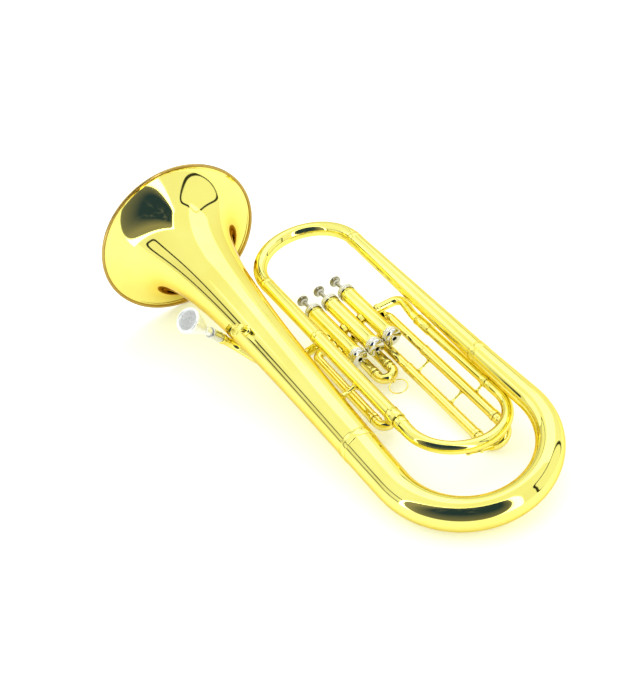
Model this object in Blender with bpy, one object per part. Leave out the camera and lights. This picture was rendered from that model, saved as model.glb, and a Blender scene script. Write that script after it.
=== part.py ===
"""Three-valve baritone horn lying at rest, built as separate brass-instrument pieces.

Lengths are metres. Every piece is modelled in the horn's own flat frame: X from the bell
branch to the outer branch, Y from the bottom bow to the bell mouth, Z towards the player.
An empty then tips the whole horn to the way it lies on a table.
"""
import math

import bmesh
import bpy
from mathutils import Matrix, Quaternion, Vector

# How the horn lies: roll towards the outer branch, pitch of the bell end, height of the frame.
REST_ROLL = math.radians(-8.575)
REST_PITCH = math.radians(6.311)
REST_OFFSET = Vector((-0.03961, -0.15694, 0.03696))

# Bell: a flare whose radius grows towards a point just past the rim.
BELL_LENGTH = 0.5115
BELL_THROAT_RADIUS = 0.0246
BELL_RIM_RADIUS = 0.1236
BELL_FLARE_REACH = 0.0210
BELL_TILT = math.radians(3.5)
BELL_WALL = 0.0010

# Branches and bows of the main tube.
BRANCH_SPACING = 0.2014
OUTER_JOINT_RADIUS = 0.0141
OUTER_JOINT_Y = 0.0234
BOTTOM_BOW_STRAIGHT = 0.081
BOTTOM_BOW_DEPTH = 0.112
BOW_WALL = 0.0010
TOP_BOW_CENTRE_Y = 0.336
OUTER_BRANCH_X = 0.205
INNER_BRANCH_X = 0.0565
INNER_BRANCH_Z = 0.010
OUTER_BRANCH_TOP_RADIUS = 0.0108
INNER_BRANCH_RADIUS = 0.0100
INNER_BRANCH_JOINT_Y = 0.190
TUBE_WALL = 0.0008
FERRULE_GAP = 0.0005
FERRULE_WALL = 0.0010

# Main tuning slide.
TUNING_RIGHT_X = 0.187
TUNING_RIGHT_Z = -0.0185
TUNING_BOW_Y = -0.034
TUNING_BOW_DEPTH = 0.0625
TUNING_LEFT_SLEEVE_END = -0.010
TUNING_RIGHT_SLEEVE_END = -0.012
TUNING_RIGHT_SLEEVE_TOP = 0.1335
LEFT_SLEEVE_RADIUS = 0.0097
LEFT_LEG_RADIUS = 0.0085
RIGHT_SLEEVE_RADIUS = 0.0069
RIGHT_LEG_RADIUS = 0.0059
TUNING_BOW_LEFT_RADIUS = 0.0089
TUNING_BOW_RIGHT_RADIUS = 0.0073
SLEEVE_WALL = 0.0006

# Valve cluster: three upright piston valves in a row.
VALVE_X = (0.089, 0.117, 0.145)
VALVE_Z = -0.024
CASING_RADIUS = 0.0116
CASING_BORE = 0.0102
CASING_BOTTOM = 0.151
CASING_TOP = 0.275
CASING_CLEARANCE = 0.0003
PORT_RADIUS = 0.0054
LINE_PORT_Y = 0.212
SLIDE_PORT_HIGH_Y = 0.1955
SLIDE_PORT_LOW_Y = 0.1795
PISTON_RADIUS = 0.0098
PISTON_BOTTOM = 0.175
PISTON_TOP = 0.271
PISTON_STROKE = 0.016
BARREL_BOTTOM = 0.238
BARREL_RADIUS = 0.0078
GUIDE_Y = 0.2415
GUIDE_THICKNESS = 0.003
GUIDE_WIDTH = 0.004
BUTTON_TOP = 0.309
BUTTON_RADIUS = 0.0086
STEM_RADIUS = 0.0028
SPRING_RADIUS = 0.0055
SPRING_WIRE = 0.0005
SPRING_TURNS = 5

# Valve slides: port tubes lead into wider sleeves, and a crook slides in each pair.
PORT_TUBE_RADIUS = 0.0064
SLIDE_SLEEVE_RADIUS = 0.0072
SLIDE_LEG_RADIUS = 0.0060
SLIDE_BOW_RADIUS = 0.0070
SLIDE_WALL = 0.0007
FIRST_SLIDE_X = (0.046, 0.0685)
FIRST_SLIDE_Z = -0.024
FIRST_SLEEVE_TOP = 0.107
FIRST_SLEEVE_END = 0.042
SECOND_SLIDE_X = (0.097, 0.119)
SECOND_SLIDE_Z = -0.045
SECOND_SLEEVE_TOP = 0.170
SECOND_SLEEVE_END = 0.129
THIRD_SLIDE_A = Vector((0.1660, 0.0, -0.0310))
THIRD_SLIDE_B = Vector((0.136, 0.0, -0.0435))
THIRD_SLEEVE_TOP = 0.105
THIRD_SLEEVE_END = -0.055
PULL_RING_RADIUS = 0.0125
PULL_RING_WIRE = 0.0010

# Mouthpiece, receiver and leadpipe.
RECEIVER_MOUTH = Vector((-0.0570, 0.2890, 0.0300))
MOUTHPIECE_AXIS = Vector((-0.45, -0.14, 0.882)).normalized()
RECEIVER_LENGTH = 0.024
RECEIVER_RADIUS = 0.0070
LEADPIPE_RADIUS = 0.0064
MOUTHPIECE_INSERTED = 0.026

# Water key, by angle round the tuning bow from its inner-branch end.
WATER_SPOUT_ANGLE = math.radians(70)
WATER_PIVOT_ANGLE = math.radians(84)
LYRE_HEIGHT = 0.2428
LYRE_ANGLE = math.radians(125)
LYRE_SCREW_TURN = math.radians(42)
LYRE_EYE_RADIUS = 0.0066
LYRE_EYE_WIRE = 0.0010

MATERIALS = {
    "brass": ((0.86, 0.62, 0.16), 0.12, 1.0),
    "nickel": ((0.80, 0.79, 0.76), 0.14, 1.0),
    "silver": ((0.90, 0.90, 0.88), 0.10, 1.0),
    "piston_nickel": ((0.70, 0.69, 0.67), 0.25, 1.0),
    "spring_steel": ((0.55, 0.56, 0.58), 0.30, 1.0),
}

Z_AXIS = Vector((0.0, 0.0, 1.0))
Y_AXIS = Vector((0.0, 1.0, 0.0))
X_AXIS = Vector((1.0, 0.0, 0.0))
BELL_AXIS = Vector((0.0, math.cos(BELL_TILT), math.sin(BELL_TILT)))


def clear_scene():
    """Remove every object already in the file."""
    for item in list(bpy.data.objects):
        bpy.data.objects.remove(item, do_unlink=True)


def make_material(name):
    """One Principled material for a piece, from its metal's colour and polish."""
    colour, roughness, metallic = MATERIALS[name]
    material = bpy.data.materials.new(name)
    material.use_nodes = True
    shader = material.node_tree.nodes["Principled BSDF"]
    shader.inputs["Base Color"].default_value = (*colour, 1.0)
    shader.inputs["Roughness"].default_value = roughness
    shader.inputs["Metallic"].default_value = metallic
    material.diffuse_color = (*colour, 1.0)
    return material


def make_rest_frame():
    """Empty that carries the horn and tips it to the way it lies."""
    frame = bpy.data.objects.new("horn_rest_frame", None)
    bpy.context.scene.collection.objects.link(frame)
    turn = Quaternion(Y_AXIS, REST_ROLL) @ Quaternion(X_AXIS, REST_PITCH)
    frame.rotation_mode = "QUATERNION"
    frame.rotation_quaternion = turn
    frame.location = REST_OFFSET
    return frame


def finish_piece(name, mesh_data, metal, frame, location=None, direction=None):
    """Turn a bmesh into a named, parented object; direction is where its own Z points."""
    bmesh.ops.recalc_face_normals(mesh_data, faces=mesh_data.faces)
    mesh = bpy.data.meshes.new(name)
    mesh_data.to_mesh(mesh)
    mesh_data.free()
    piece = bpy.data.objects.new(name, mesh)
    bpy.context.scene.collection.objects.link(piece)
    mesh.materials.append(make_material(metal))
    mesh.shade_smooth()
    mesh.set_sharp_from_angle(angle=math.radians(35))
    piece.parent = frame
    if location is not None:
        piece.location = location
    if direction is not None:
        piece.rotation_mode = "QUATERNION"
        piece.rotation_quaternion = direction.to_track_quat("Z", "Y")
    return piece


def spin_profile(mesh_data, profile, sides):
    """Spin a closed outline of (radius, height) points a full turn about Z."""
    verts = [mesh_data.verts.new((radius, 0.0, height)) for radius, height in profile]
    edges = [mesh_data.edges.new((verts[i - 1], verts[i])) for i in range(len(verts))]
    bmesh.ops.spin(
        mesh_data, geom=verts + edges, cent=(0, 0, 0), axis=(0, 0, 1),
        angle=math.tau, steps=sides, use_merge=True, use_duplicate=False)
    bmesh.ops.remove_doubles(mesh_data, verts=mesh_data.verts, dist=1e-6)


def turned_ring(name, profile, sides, metal, frame, location, direction):
    """A turned piece with a hole along its axis, from a closed (radius, height) outline."""
    mesh_data = bmesh.new()
    spin_profile(mesh_data, profile, sides)
    return finish_piece(name, mesh_data, metal, frame, location, direction)


def turned_solid(name, profile, sides, metal, frame, location, direction):
    """A turned piece that is solid on its axis; the outline starts and ends on the axis."""
    mesh_data = bmesh.new()
    verts = [mesh_data.verts.new((radius, 0.0, height)) for radius, height in profile]
    edges = [mesh_data.edges.new((verts[i], verts[i + 1])) for i in range(len(verts) - 1)]
    bmesh.ops.spin(
        mesh_data, geom=verts + edges, cent=(0, 0, 0), axis=(0, 0, 1),
        angle=math.tau, steps=sides, use_merge=True, use_duplicate=False)
    bmesh.ops.remove_doubles(mesh_data, verts=mesh_data.verts, dist=1e-6)
    return finish_piece(name, mesh_data, metal, frame, location, direction)


def path_tangents(path):
    """Unit direction of travel at each point of a path."""
    tangents = []
    for i, point in enumerate(path):
        before = path[max(i - 1, 0)]
        after = path[min(i + 1, len(path) - 1)]
        into = (point - before).normalized()
        out = (after - point).normalized()
        tangents.append((into + out).normalized())
    return tangents


def path_rings(mesh_data, path, radii, sides):
    """Rings of vertices square to a path, carried along it without twisting."""
    tangents = path_tangents(path)
    side = tangents[0].orthogonal().normalized()
    rings = []
    for i, (point, tangent, radius) in enumerate(zip(path, tangents, radii)):
        if i > 0:
            side = tangents[i - 1].rotation_difference(tangent) @ side
        up = tangent.cross(side)
        angles = [math.tau * k / sides for k in range(sides)]
        offsets = [side * math.cos(a) + up * math.sin(a) for a in angles]
        rings.append([mesh_data.verts.new(point + offset * radius) for offset in offsets])
    return rings


def join_rings(mesh_data, first, second):
    """Quads between two rings of the same size."""
    count = len(first)
    for k in range(count):
        n = (k + 1) % count
        mesh_data.faces.new((first[k], first[n], second[n], second[k]))


def radius_list(path, radius):
    """The radius at each path point, from one number or a ready list."""
    if isinstance(radius, (list, tuple)):
        return list(radius)
    return [radius] * len(path)


def tapered(path, start_radius, end_radius):
    """Radii that change evenly with distance along a path."""
    steps = [(b - a).length for a, b in zip(path, path[1:])]
    travelled = [sum(steps[:i]) for i in range(len(path))]
    return [start_radius + (end_radius - start_radius) * s / travelled[-1] for s in travelled]


def hollow_tube(name, path, radius, wall, sides, metal, frame):
    """An open-ended tube of even wall along a path."""
    mesh_data = bmesh.new()
    radii = radius_list(path, radius)
    outer = path_rings(mesh_data, path, radii, sides)
    inner = path_rings(mesh_data, path, [r - wall for r in radii], sides)
    for i in range(len(path) - 1):
        join_rings(mesh_data, outer[i], outer[i + 1])
        join_rings(mesh_data, inner[i + 1], inner[i])
    join_rings(mesh_data, inner[0], outer[0])
    join_rings(mesh_data, outer[-1], inner[-1])
    return finish_piece(name, mesh_data, metal, frame)


def solid_rod(name, path, radius, sides, metal, frame):
    """A solid rod or wire along a path, with flat ends."""
    mesh_data = bmesh.new()
    rings = path_rings(mesh_data, path, radius_list(path, radius), sides)
    for i in range(len(path) - 1):
        join_rings(mesh_data, rings[i], rings[i + 1])
    mesh_data.faces.new(rings[0])
    mesh_data.faces.new(rings[-1])
    return finish_piece(name, mesh_data, metal, frame)


def bent_path(corners, bend_radii, steps=5):
    """A path along straight runs with each inner corner rounded to its bend radius."""
    path = [corners[0]]
    inner = zip(corners, corners[1:], corners[2:], bend_radii)
    for before, corner, after, bend_radius in inner:
        into = (corner - before).normalized()
        out = (after - corner).normalized()
        angle = into.angle(out)
        start = corner - into * (bend_radius * math.tan(angle / 2))
        centre = corner + (out - into).normalized() * (bend_radius / math.cos(angle / 2))
        for k in range(steps + 1):
            turn = Quaternion(into.cross(out).normalized(), angle * k / steps)
            path.append(centre + turn @ (start - centre))
    path.append(corners[-1])
    return path


def half_bow(start, end, depth_vector, steps):
    """Half an ellipse from start to end that bulges by depth_vector."""
    middle = (start + end) / 2
    points = []
    for k in range(steps + 1):
        angle = math.pi * k / steps
        points.append(middle + (start - middle) * math.cos(angle) + depth_vector * math.sin(angle))
    return points


def cut_away(piece, cutter):
    """Subtract a hidden guide object from a piece."""
    cutter.hide_render = True
    cutter.display_type = "WIRE"
    modifier = piece.modifiers.new("cut_" + cutter.name, "BOOLEAN")
    modifier.operation = "DIFFERENCE"
    modifier.solver = "EXACT"
    modifier.object = cutter


def cylinder_guide(name, centre, direction, radius, length, frame, sides=24):
    """A hidden cylinder used only to cut other pieces."""
    mesh_data = bmesh.new()
    bmesh.ops.create_cone(
        mesh_data, cap_ends=True, segments=sides, radius1=radius, radius2=radius, depth=length)
    return finish_piece(name, mesh_data, "brass", frame, centre, direction)


def box_guide(name, centre, size, frame):
    """A hidden box used only to cut other pieces."""
    mesh_data = bmesh.new()
    bmesh.ops.create_cube(mesh_data, size=1.0, matrix=Matrix.Diagonal((*size, 1.0)))
    return finish_piece(name, mesh_data, "brass", frame, centre)


def ferrule(name, centre, direction, tube_radius, length, metal, frame, sides=20):
    """A plain sleeve over a joint between two tubes."""
    inner = tube_radius + FERRULE_GAP
    outer = inner + FERRULE_WALL
    half = length / 2
    outline = [(inner, -half), (outer, -half), (outer, half), (inner, half)]
    return turned_ring(name, outline, sides, metal, frame, centre, direction)


def waisted_brace(name, start, end, foot_radius, waist_radius, frame):
    """A turned strut with a flared foot at each end."""
    run = end - start
    length = run.length
    foot = min(0.0045, length * 0.3)
    outline = [
        (0.0, 0.0), (foot_radius, 0.0), (foot_radius, 0.0009), (waist_radius, foot),
        (waist_radius, length - foot), (foot_radius, length - 0.0009),
        (foot_radius, length), (0.0, length)]
    return turned_solid(name, outline, 10, "brass", frame, start, run.normalized())


# ---------------------------------------------------------------- bell and main branches


def bell_radius(height):
    """Outer radius of the bell at a height along its axis."""
    reach = BELL_LENGTH + BELL_FLARE_REACH
    return BELL_THROAT_RADIUS * math.sqrt(reach / (reach - height))


def bell_point(height, angle, stand_off):
    """A point off the bell's skin and the outward direction there."""
    across = X_AXIS * math.cos(angle) + X_AXIS.cross(BELL_AXIS) * math.sin(angle)
    return BELL_AXIS * height + across * (bell_radius(height) + stand_off), across


def bell_inner_point(height):
    """Inner skin of the bell: the outer curve moved in by the wall along its normal."""
    radius = bell_radius(height)
    slope = radius / (2 * (BELL_LENGTH + BELL_FLARE_REACH - height))
    shift = BELL_WALL / math.sqrt(1 + slope * slope)
    return radius - shift, height + shift * slope


def make_bell(frame):
    """Bell flare with a rolled rim that has a narrow flat front."""
    flare_end = BELL_LENGTH - 0.0016
    steps = 11
    heights = [flare_end * (1 - (1 - k / steps) ** 1.8) for k in range(steps + 1)]
    outer = [(bell_radius(h), h + 0.0005 * (h == 0)) for h in heights]
    rim = BELL_RIM_RADIUS
    front = BELL_LENGTH
    bead = [
        (rim - 0.0022, front - 0.0038), (rim + 0.0002, front - 0.0036),
        (rim + 0.0010, front - 0.0020), (rim, front), (rim - 0.0048, front)]
    inner = [bell_inner_point(h) for h in reversed(heights[:-1])]
    inner[-1] = (bell_radius(0.0) - BELL_WALL, 0.0005)
    outline = outer + bead + inner
    return turned_ring("bell", outline, 36, "brass", frame, Vector(), BELL_AXIS)


def bottom_bow_path():
    """Centre line of the bottom bow from the bell joint round to the outer branch."""
    slope = math.tan(BELL_TILT)
    path = []
    for k in range(3):
        t = k / 2
        drop = slope * BOTTOM_BOW_STRAIGHT * (t - t * t / 2)
        path.append(Vector((0.0, -BOTTOM_BOW_STRAIGHT * t - 0.0005, -drop)))
    far = Vector((BRANCH_SPACING, path[-1].y, 0.0))
    path += half_bow(path[-1], far, Vector((0.0, -BOTTOM_BOW_DEPTH, 0.0)), 15)[1:]
    path.append(Vector((BRANCH_SPACING, OUTER_JOINT_Y - 0.0005, 0.0)))
    return path


def make_bottom_bow(frame):
    """Large bow that joins the bell to the outer branch."""
    path = bottom_bow_path()
    radii = tapered(path, BELL_THROAT_RADIUS, OUTER_JOINT_RADIUS)
    hollow_tube("bottom_bow", path, radii, BOW_WALL, 20, "brass", frame)
    ferrule("bell_joint_ferrule", Vector(), BELL_AXIS, BELL_THROAT_RADIUS, 0.014, "brass", frame, 36)
    ferrule(
        "outer_joint_ferrule", Vector((BRANCH_SPACING, OUTER_JOINT_Y, 0.0)), Y_AXIS,
        OUTER_JOINT_RADIUS, 0.012, "brass", frame, 20)


def make_top_loop(frame):
    """Outer branch, top bow and inner branch down to the tuning slide sleeve."""
    outer_low = Vector((BRANCH_SPACING, OUTER_JOINT_Y + 0.0005, 0.0))
    outer_high = Vector((OUTER_BRANCH_X, TOP_BOW_CENTRE_Y - 0.0005, 0.0))
    branch = [outer_low, outer_high]
    radii = tapered(branch, OUTER_JOINT_RADIUS, OUTER_BRANCH_TOP_RADIUS)
    hollow_tube("outer_branch", branch, radii, TUBE_WALL, 20, "brass", frame)
    bow_start = Vector((OUTER_BRANCH_X, TOP_BOW_CENTRE_Y, 0.0))
    bow_end = Vector((INNER_BRANCH_X, TOP_BOW_CENTRE_Y, INNER_BRANCH_Z))
    depth = Vector((0.0, (OUTER_BRANCH_X - INNER_BRANCH_X) / 2, 0.0))
    lead_in = Y_AXIS * 0.004
    bow = [bow_start] + half_bow(bow_start + lead_in, bow_end + lead_in, depth, 14) + [bow_end]
    bow_radii = tapered(bow, OUTER_BRANCH_TOP_RADIUS, INNER_BRANCH_RADIUS)
    hollow_tube("top_bow", bow, bow_radii, TUBE_WALL, 14, "brass", frame)
    ferrule("top_bow_ferrule", bow_start, Y_AXIS, OUTER_BRANCH_TOP_RADIUS, 0.010, "brass", frame)
    inner = [bow_end - Y_AXIS * 0.0005, Vector((INNER_BRANCH_X, INNER_BRANCH_JOINT_Y, INNER_BRANCH_Z))]
    inner_radii = [INNER_BRANCH_RADIUS, LEFT_SLEEVE_RADIUS]
    hollow_tube("inner_branch", inner, inner_radii, TUBE_WALL, 20, "brass", frame)
    ferrule(
        "inner_branch_ferrule", inner[1] - Y_AXIS * 0.0002, Y_AXIS, LEFT_SLEEVE_RADIUS, 0.009,
        "brass", frame)


# ---------------------------------------------------------------- main tuning slide


def make_tuning_sleeves(frame):
    """The two fixed sleeves that the tuning slide runs in."""
    top = Vector((INNER_BRANCH_X, INNER_BRANCH_JOINT_Y - 0.0005, INNER_BRANCH_Z))
    end = Vector((INNER_BRANCH_X, TUNING_LEFT_SLEEVE_END, INNER_BRANCH_Z))
    band = end + Y_AXIS * 0.018
    path = [top, band, band - Y_AXIS * 0.0006, end]
    radii = [LEFT_SLEEVE_RADIUS, LEFT_SLEEVE_RADIUS, LEFT_SLEEVE_RADIUS + 0.0008]
    radii.append(radii[-1])
    outer_steps = tube_with_steps("tuning_sleeve_left", path, radii, LEFT_LEG_RADIUS + 0.0004, frame)
    right_top = Vector((TUNING_RIGHT_X, TUNING_RIGHT_SLEEVE_TOP, TUNING_RIGHT_Z))
    right_end = Vector((TUNING_RIGHT_X, TUNING_RIGHT_SLEEVE_END, TUNING_RIGHT_Z))
    hollow_tube(
        "tuning_sleeve_right", [right_top, right_end], RIGHT_SLEEVE_RADIUS, SLEEVE_WALL, 16,
        "brass", frame)
    return outer_steps


def tube_with_steps(name, path, radii, bore, frame, sides=20):
    """A tube whose outside steps while its bore stays even."""
    mesh_data = bmesh.new()
    outer = path_rings(mesh_data, path, radii, sides)
    inner = path_rings(mesh_data, [path[0], path[-1]], [bore, bore], sides)
    for i in range(len(path) - 1):
        join_rings(mesh_data, outer[i], outer[i + 1])
    join_rings(mesh_data, inner[1], inner[0])
    join_rings(mesh_data, inner[0], outer[0])
    join_rings(mesh_data, outer[-1], inner[1])
    return finish_piece(name, mesh_data, "brass", frame)


def make_tuning_slide(frame):
    """Main tuning slide: two legs and a bow that widens towards the inner branch."""
    left = Vector((INNER_BRANCH_X, 0.0, INNER_BRANCH_Z))
    right = Vector((TUNING_RIGHT_X, 0.0, TUNING_RIGHT_Z))
    left_step = TUNING_LEFT_SLEEVE_END - 0.0008
    right_step = TUNING_RIGHT_SLEEVE_END - 0.0008
    bow_left = left + Y_AXIS * TUNING_BOW_Y
    bow_right = right + Y_AXIS * TUNING_BOW_Y
    depth = Vector((0.0, -TUNING_BOW_DEPTH, 0.0))
    bow = [left + Y_AXIS * (left_step - 0.0003)]
    bow += half_bow(bow_left, bow_right, depth, 12)
    bow.append(right + Y_AXIS * (right_step - 0.0003))
    bow_radii = tapered(bow, TUNING_BOW_LEFT_RADIUS, TUNING_BOW_RIGHT_RADIUS)
    path = [left + Y_AXIS * 0.080, left + Y_AXIS * left_step] + bow
    path += [right + Y_AXIS * right_step, right + Y_AXIS * 0.105]
    radii = [LEFT_LEG_RADIUS] * 2 + bow_radii + [RIGHT_LEG_RADIUS] * 2
    hollow_tube("main_tuning_slide", path, radii, SLIDE_WALL, 14, "brass", frame)


def make_outlet(frame):
    """Tube from the third valve round to the right tuning sleeve."""
    corners = [
        Vector((VALVE_X[2] + 0.009, LINE_PORT_Y, VALVE_Z)),
        Vector((TUNING_RIGHT_X + 0.008, LINE_PORT_Y - 0.005, VALVE_Z + 0.001)),
        Vector((TUNING_RIGHT_X, 0.160, TUNING_RIGHT_Z)),
        Vector((TUNING_RIGHT_X, TUNING_RIGHT_SLEEVE_TOP + 0.0005, TUNING_RIGHT_Z))]
    path = bent_path(corners, [0.014, 0.040], 4)
    outlet = hollow_tube("valve_outlet_bend", path, 0.0066, SLIDE_WALL, 12, "brass", frame)
    cut_away(outlet, bpy.data.objects["guide_casing_3"])
    ferrule(
        "outlet_ferrule", Vector((TUNING_RIGHT_X, TUNING_RIGHT_SLEEVE_TOP, TUNING_RIGHT_Z)),
        Y_AXIS, RIGHT_SLEEVE_RADIUS, 0.030, "brass", frame, 16)


# ---------------------------------------------------------------- valves


def port_directions(number):
    """Ports of one casing: height and direction for the line and for its slide."""
    line = [(LINE_PORT_Y, X_AXIS), (LINE_PORT_Y, -X_AXIS)]
    back = -Z_AXIS
    slanted = Vector((-0.72, 0.0, -0.69)).normalized()
    slide = {
        1: [(SLIDE_PORT_HIGH_Y, -X_AXIS), (SLIDE_PORT_LOW_Y, -X_AXIS)],
        2: [(SLIDE_PORT_HIGH_Y, slanted), (SLIDE_PORT_LOW_Y, back)],
        3: [(SLIDE_PORT_HIGH_Y, X_AXIS), (SLIDE_PORT_LOW_Y, back)]}
    return line + slide[number]


def make_casing(number, frame):
    """Valve casing with its ports, and the hidden guide that seats the tubes on it."""
    x = VALVE_X[number - 1]
    base = Vector((x, CASING_BOTTOM, VALVE_Z))
    length = CASING_TOP - CASING_BOTTOM
    outline = [(CASING_BORE, 0.0), (CASING_RADIUS, 0.0), (CASING_RADIUS, length), (CASING_BORE, length)]
    casing = turned_ring(f"valve_casing_{number}", outline, 20, "brass", frame, base, Y_AXIS)
    for index, (height, direction) in enumerate(port_directions(number)):
        centre = Vector((x, height, VALVE_Z)) + direction * CASING_RADIUS
        guide = cylinder_guide(
            f"guide_port_{number}_{index}", centre, direction, PORT_RADIUS, 0.008, frame, 12)
        cut_away(casing, guide)
    middle = Vector((x, (CASING_TOP + CASING_BOTTOM) / 2, VALVE_Z))
    clearance = CASING_RADIUS + CASING_CLEARANCE
    seat = cylinder_guide(f"guide_casing_{number}", middle, Y_AXIS, clearance, length + 0.02, frame, 24)
    seat.hide_render = True
    seat.display_type = "WIRE"


def make_caps(number, frame):
    """Knurled top cap with the stem hole and domed bottom cap with a vent hole."""
    x = VALVE_X[number - 1]
    inside = CASING_RADIUS + CASING_CLEARANCE + 0.0001
    skirt = inside + 0.0010
    top = [
        (inside, 0.0), (skirt, 0.0), (skirt, 0.0075), (skirt - 0.0020, 0.0100),
        (0.0068, 0.0120), (0.0060, 0.0145), (STEM_RADIUS + 0.0005, 0.0145),
        (STEM_RADIUS + 0.0005, 0.0090), (inside, 0.0064)]
    cap_y = CASING_TOP - 0.0055
    turned_ring(
        f"top_cap_{number}", top, 16, "nickel", frame, Vector((x, cap_y, VALVE_Z)), Y_AXIS)
    bottom = [
        (inside, 0.0), (skirt, 0.0), (skirt + 0.0004, 0.0090), (skirt - 0.0014, 0.0118),
        (0.0060, 0.0132), (0.0020, 0.0132), (0.0020, 0.0112), (inside - 0.0012, 0.0102),
        (inside, 0.0086)]
    cap_y = CASING_BOTTOM + 0.0075
    turned_ring(
        f"bottom_cap_{number}", bottom, 16, "nickel", frame, Vector((x, cap_y, VALVE_Z)), -Y_AXIS)


def make_piston(number, frame):
    """Piston with cross passages, and a slotted spring barrel at its upper end."""
    x = VALVE_X[number - 1]
    length = PISTON_TOP - PISTON_BOTTOM
    barrel = BARREL_BOTTOM - PISTON_BOTTOM
    outline = [
        (0.0, 0.0), (PISTON_RADIUS, 0.0), (PISTON_RADIUS, length), (0.0035, length),
        (0.0035, length - 0.0018), (BARREL_RADIUS, length - 0.0018), (BARREL_RADIUS, barrel),
        (0.0, barrel)]
    base = Vector((x, PISTON_BOTTOM, VALVE_Z))
    piston = turned_solid(f"piston_{number}", outline, 16, "piston_nickel", frame, base, Y_AXIS)
    passages = ((SLIDE_PORT_HIGH_Y - 0.0015, 60), (LINE_PORT_Y, 0), (LINE_PORT_Y + PISTON_STROKE, 120))
    for index, (height, turn) in enumerate(passages):
        angle = math.radians(turn)
        direction = Vector((math.cos(angle), 0.0, math.sin(angle)))
        guide = cylinder_guide(
            f"guide_passage_{number}_{index}", Vector((x, height, VALVE_Z)), direction,
            PORT_RADIUS, 0.03, frame, 10)
        cut_away(piston, guide)
    slot_low = GUIDE_Y - GUIDE_THICKNESS / 2 - 0.0005
    slot_high = GUIDE_Y + GUIDE_THICKNESS / 2 + PISTON_STROKE + 0.0008
    middle = Vector((x, (slot_low + slot_high) / 2, VALVE_Z))
    size = (0.03, slot_high - slot_low, GUIDE_WIDTH + 0.0008)
    cut_away(piston, box_guide(f"guide_slot_{number}", middle, size, frame))


def make_valve_guide(number, frame):
    """Fixed key bar that passes through the barrel slots and carries the spring."""
    mesh_data = bmesh.new()
    size = (2 * (CASING_BORE - 0.0004), GUIDE_THICKNESS, GUIDE_WIDTH)
    bmesh.ops.create_cube(mesh_data, size=1.0, matrix=Matrix.Diagonal((*size, 1.0)))
    centre = Vector((VALVE_X[number - 1], GUIDE_Y, VALVE_Z))
    finish_piece(f"valve_guide_{number}", mesh_data, "brass", frame, centre)


def make_finger_button(number, frame):
    """Finger button and its stem, turned in one piece."""
    x = VALVE_X[number - 1]
    foot = PISTON_TOP + 0.0003
    length = BUTTON_TOP - foot
    outline = [
        (0.0, 0.0), (0.0050, 0.0), (0.0050, 0.0015), (STEM_RADIUS, 0.0022),
        (STEM_RADIUS, length - 0.0066), (BUTTON_RADIUS - 0.0012, length - 0.0052),
        (BUTTON_RADIUS, length - 0.0030), (BUTTON_RADIUS - 0.0014, length - 0.0010), (0.0, length)]
    turned_solid(
        f"finger_button_{number}", outline, 14, "nickel", frame, Vector((x, foot, VALVE_Z)), Y_AXIS)


def make_valve_spring(number, frame):
    """Compression spring between the fixed key bar and the barrel's top plate."""
    low = GUIDE_Y + GUIDE_THICKNESS / 2 + SPRING_WIRE + 0.0003
    high = PISTON_TOP - 0.0018 - SPRING_WIRE - 0.0003
    per_turn = 6
    count = SPRING_TURNS * per_turn
    centre = Vector((VALVE_X[number - 1], 0.0, VALVE_Z))
    path = []
    for k in range(count + 1):
        angle = math.tau * k / per_turn
        height = low + (high - low) * k / count
        across = Vector((math.cos(angle), 0.0, math.sin(angle))) * SPRING_RADIUS
        path.append(centre + across + Y_AXIS * height)
    solid_rod(f"valve_spring_{number}", path, SPRING_WIRE, 4, "spring_steel", frame)


def make_crossover(number, frame):
    """Short knuckle between one casing and the next."""
    first = VALVE_X[number - 1]
    second = VALVE_X[number]
    path = [Vector((first + 0.009, LINE_PORT_Y, VALVE_Z)), Vector((second - 0.009, LINE_PORT_Y, VALVE_Z))]
    knuckle = hollow_tube(
        f"crossover_{number}_{number + 1}", path, 0.0069, 0.0010, 14, "brass", frame)
    cut_away(knuckle, bpy.data.objects[f"guide_casing_{number}"])
    cut_away(knuckle, bpy.data.objects[f"guide_casing_{number + 1}"])


# ---------------------------------------------------------------- valve slides


def seated_sleeve(name, corners, bend_radii, sleeve_top, casing_number, frame):
    """A port tube from a casing that steps out to a sleeve where it runs down the horn."""
    path = bent_path(corners, bend_radii, 3)
    last = path.pop()
    step = Vector((last.x, sleeve_top, last.z))
    radii = [PORT_TUBE_RADIUS] * (len(path) + 1)
    path += [step, step - Y_AXIS * 0.0004, last]
    radii += [SLIDE_SLEEVE_RADIUS] * 2
    sleeve = hollow_tube(name, path, radii, SLIDE_WALL, 12, "brass", frame)
    cut_away(sleeve, bpy.data.objects[f"guide_casing_{casing_number}"])


def slide_crook(name, first, second, leg_top, sleeve_end, bow_y, frame):
    """A slide: two legs that run in the sleeves and the bow that joins them."""
    step = sleeve_end - 0.0006
    depth = -Y_AXIS * ((second - first).length / 2)
    bow = half_bow(first + Y_AXIS * bow_y, second + Y_AXIS * bow_y, depth, 6)
    bow = [first + Y_AXIS * (step - 0.0004)] + bow + [second + Y_AXIS * (step - 0.0004)]
    path = [first + Y_AXIS * leg_top, first + Y_AXIS * step] + bow
    path += [second + Y_AXIS * step, second + Y_AXIS * leg_top]
    radii = [SLIDE_LEG_RADIUS] * 2 + [SLIDE_BOW_RADIUS] * len(bow) + [SLIDE_LEG_RADIUS] * 2
    hollow_tube(name, path, radii, SLIDE_WALL, 12, "brass", frame)


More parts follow.
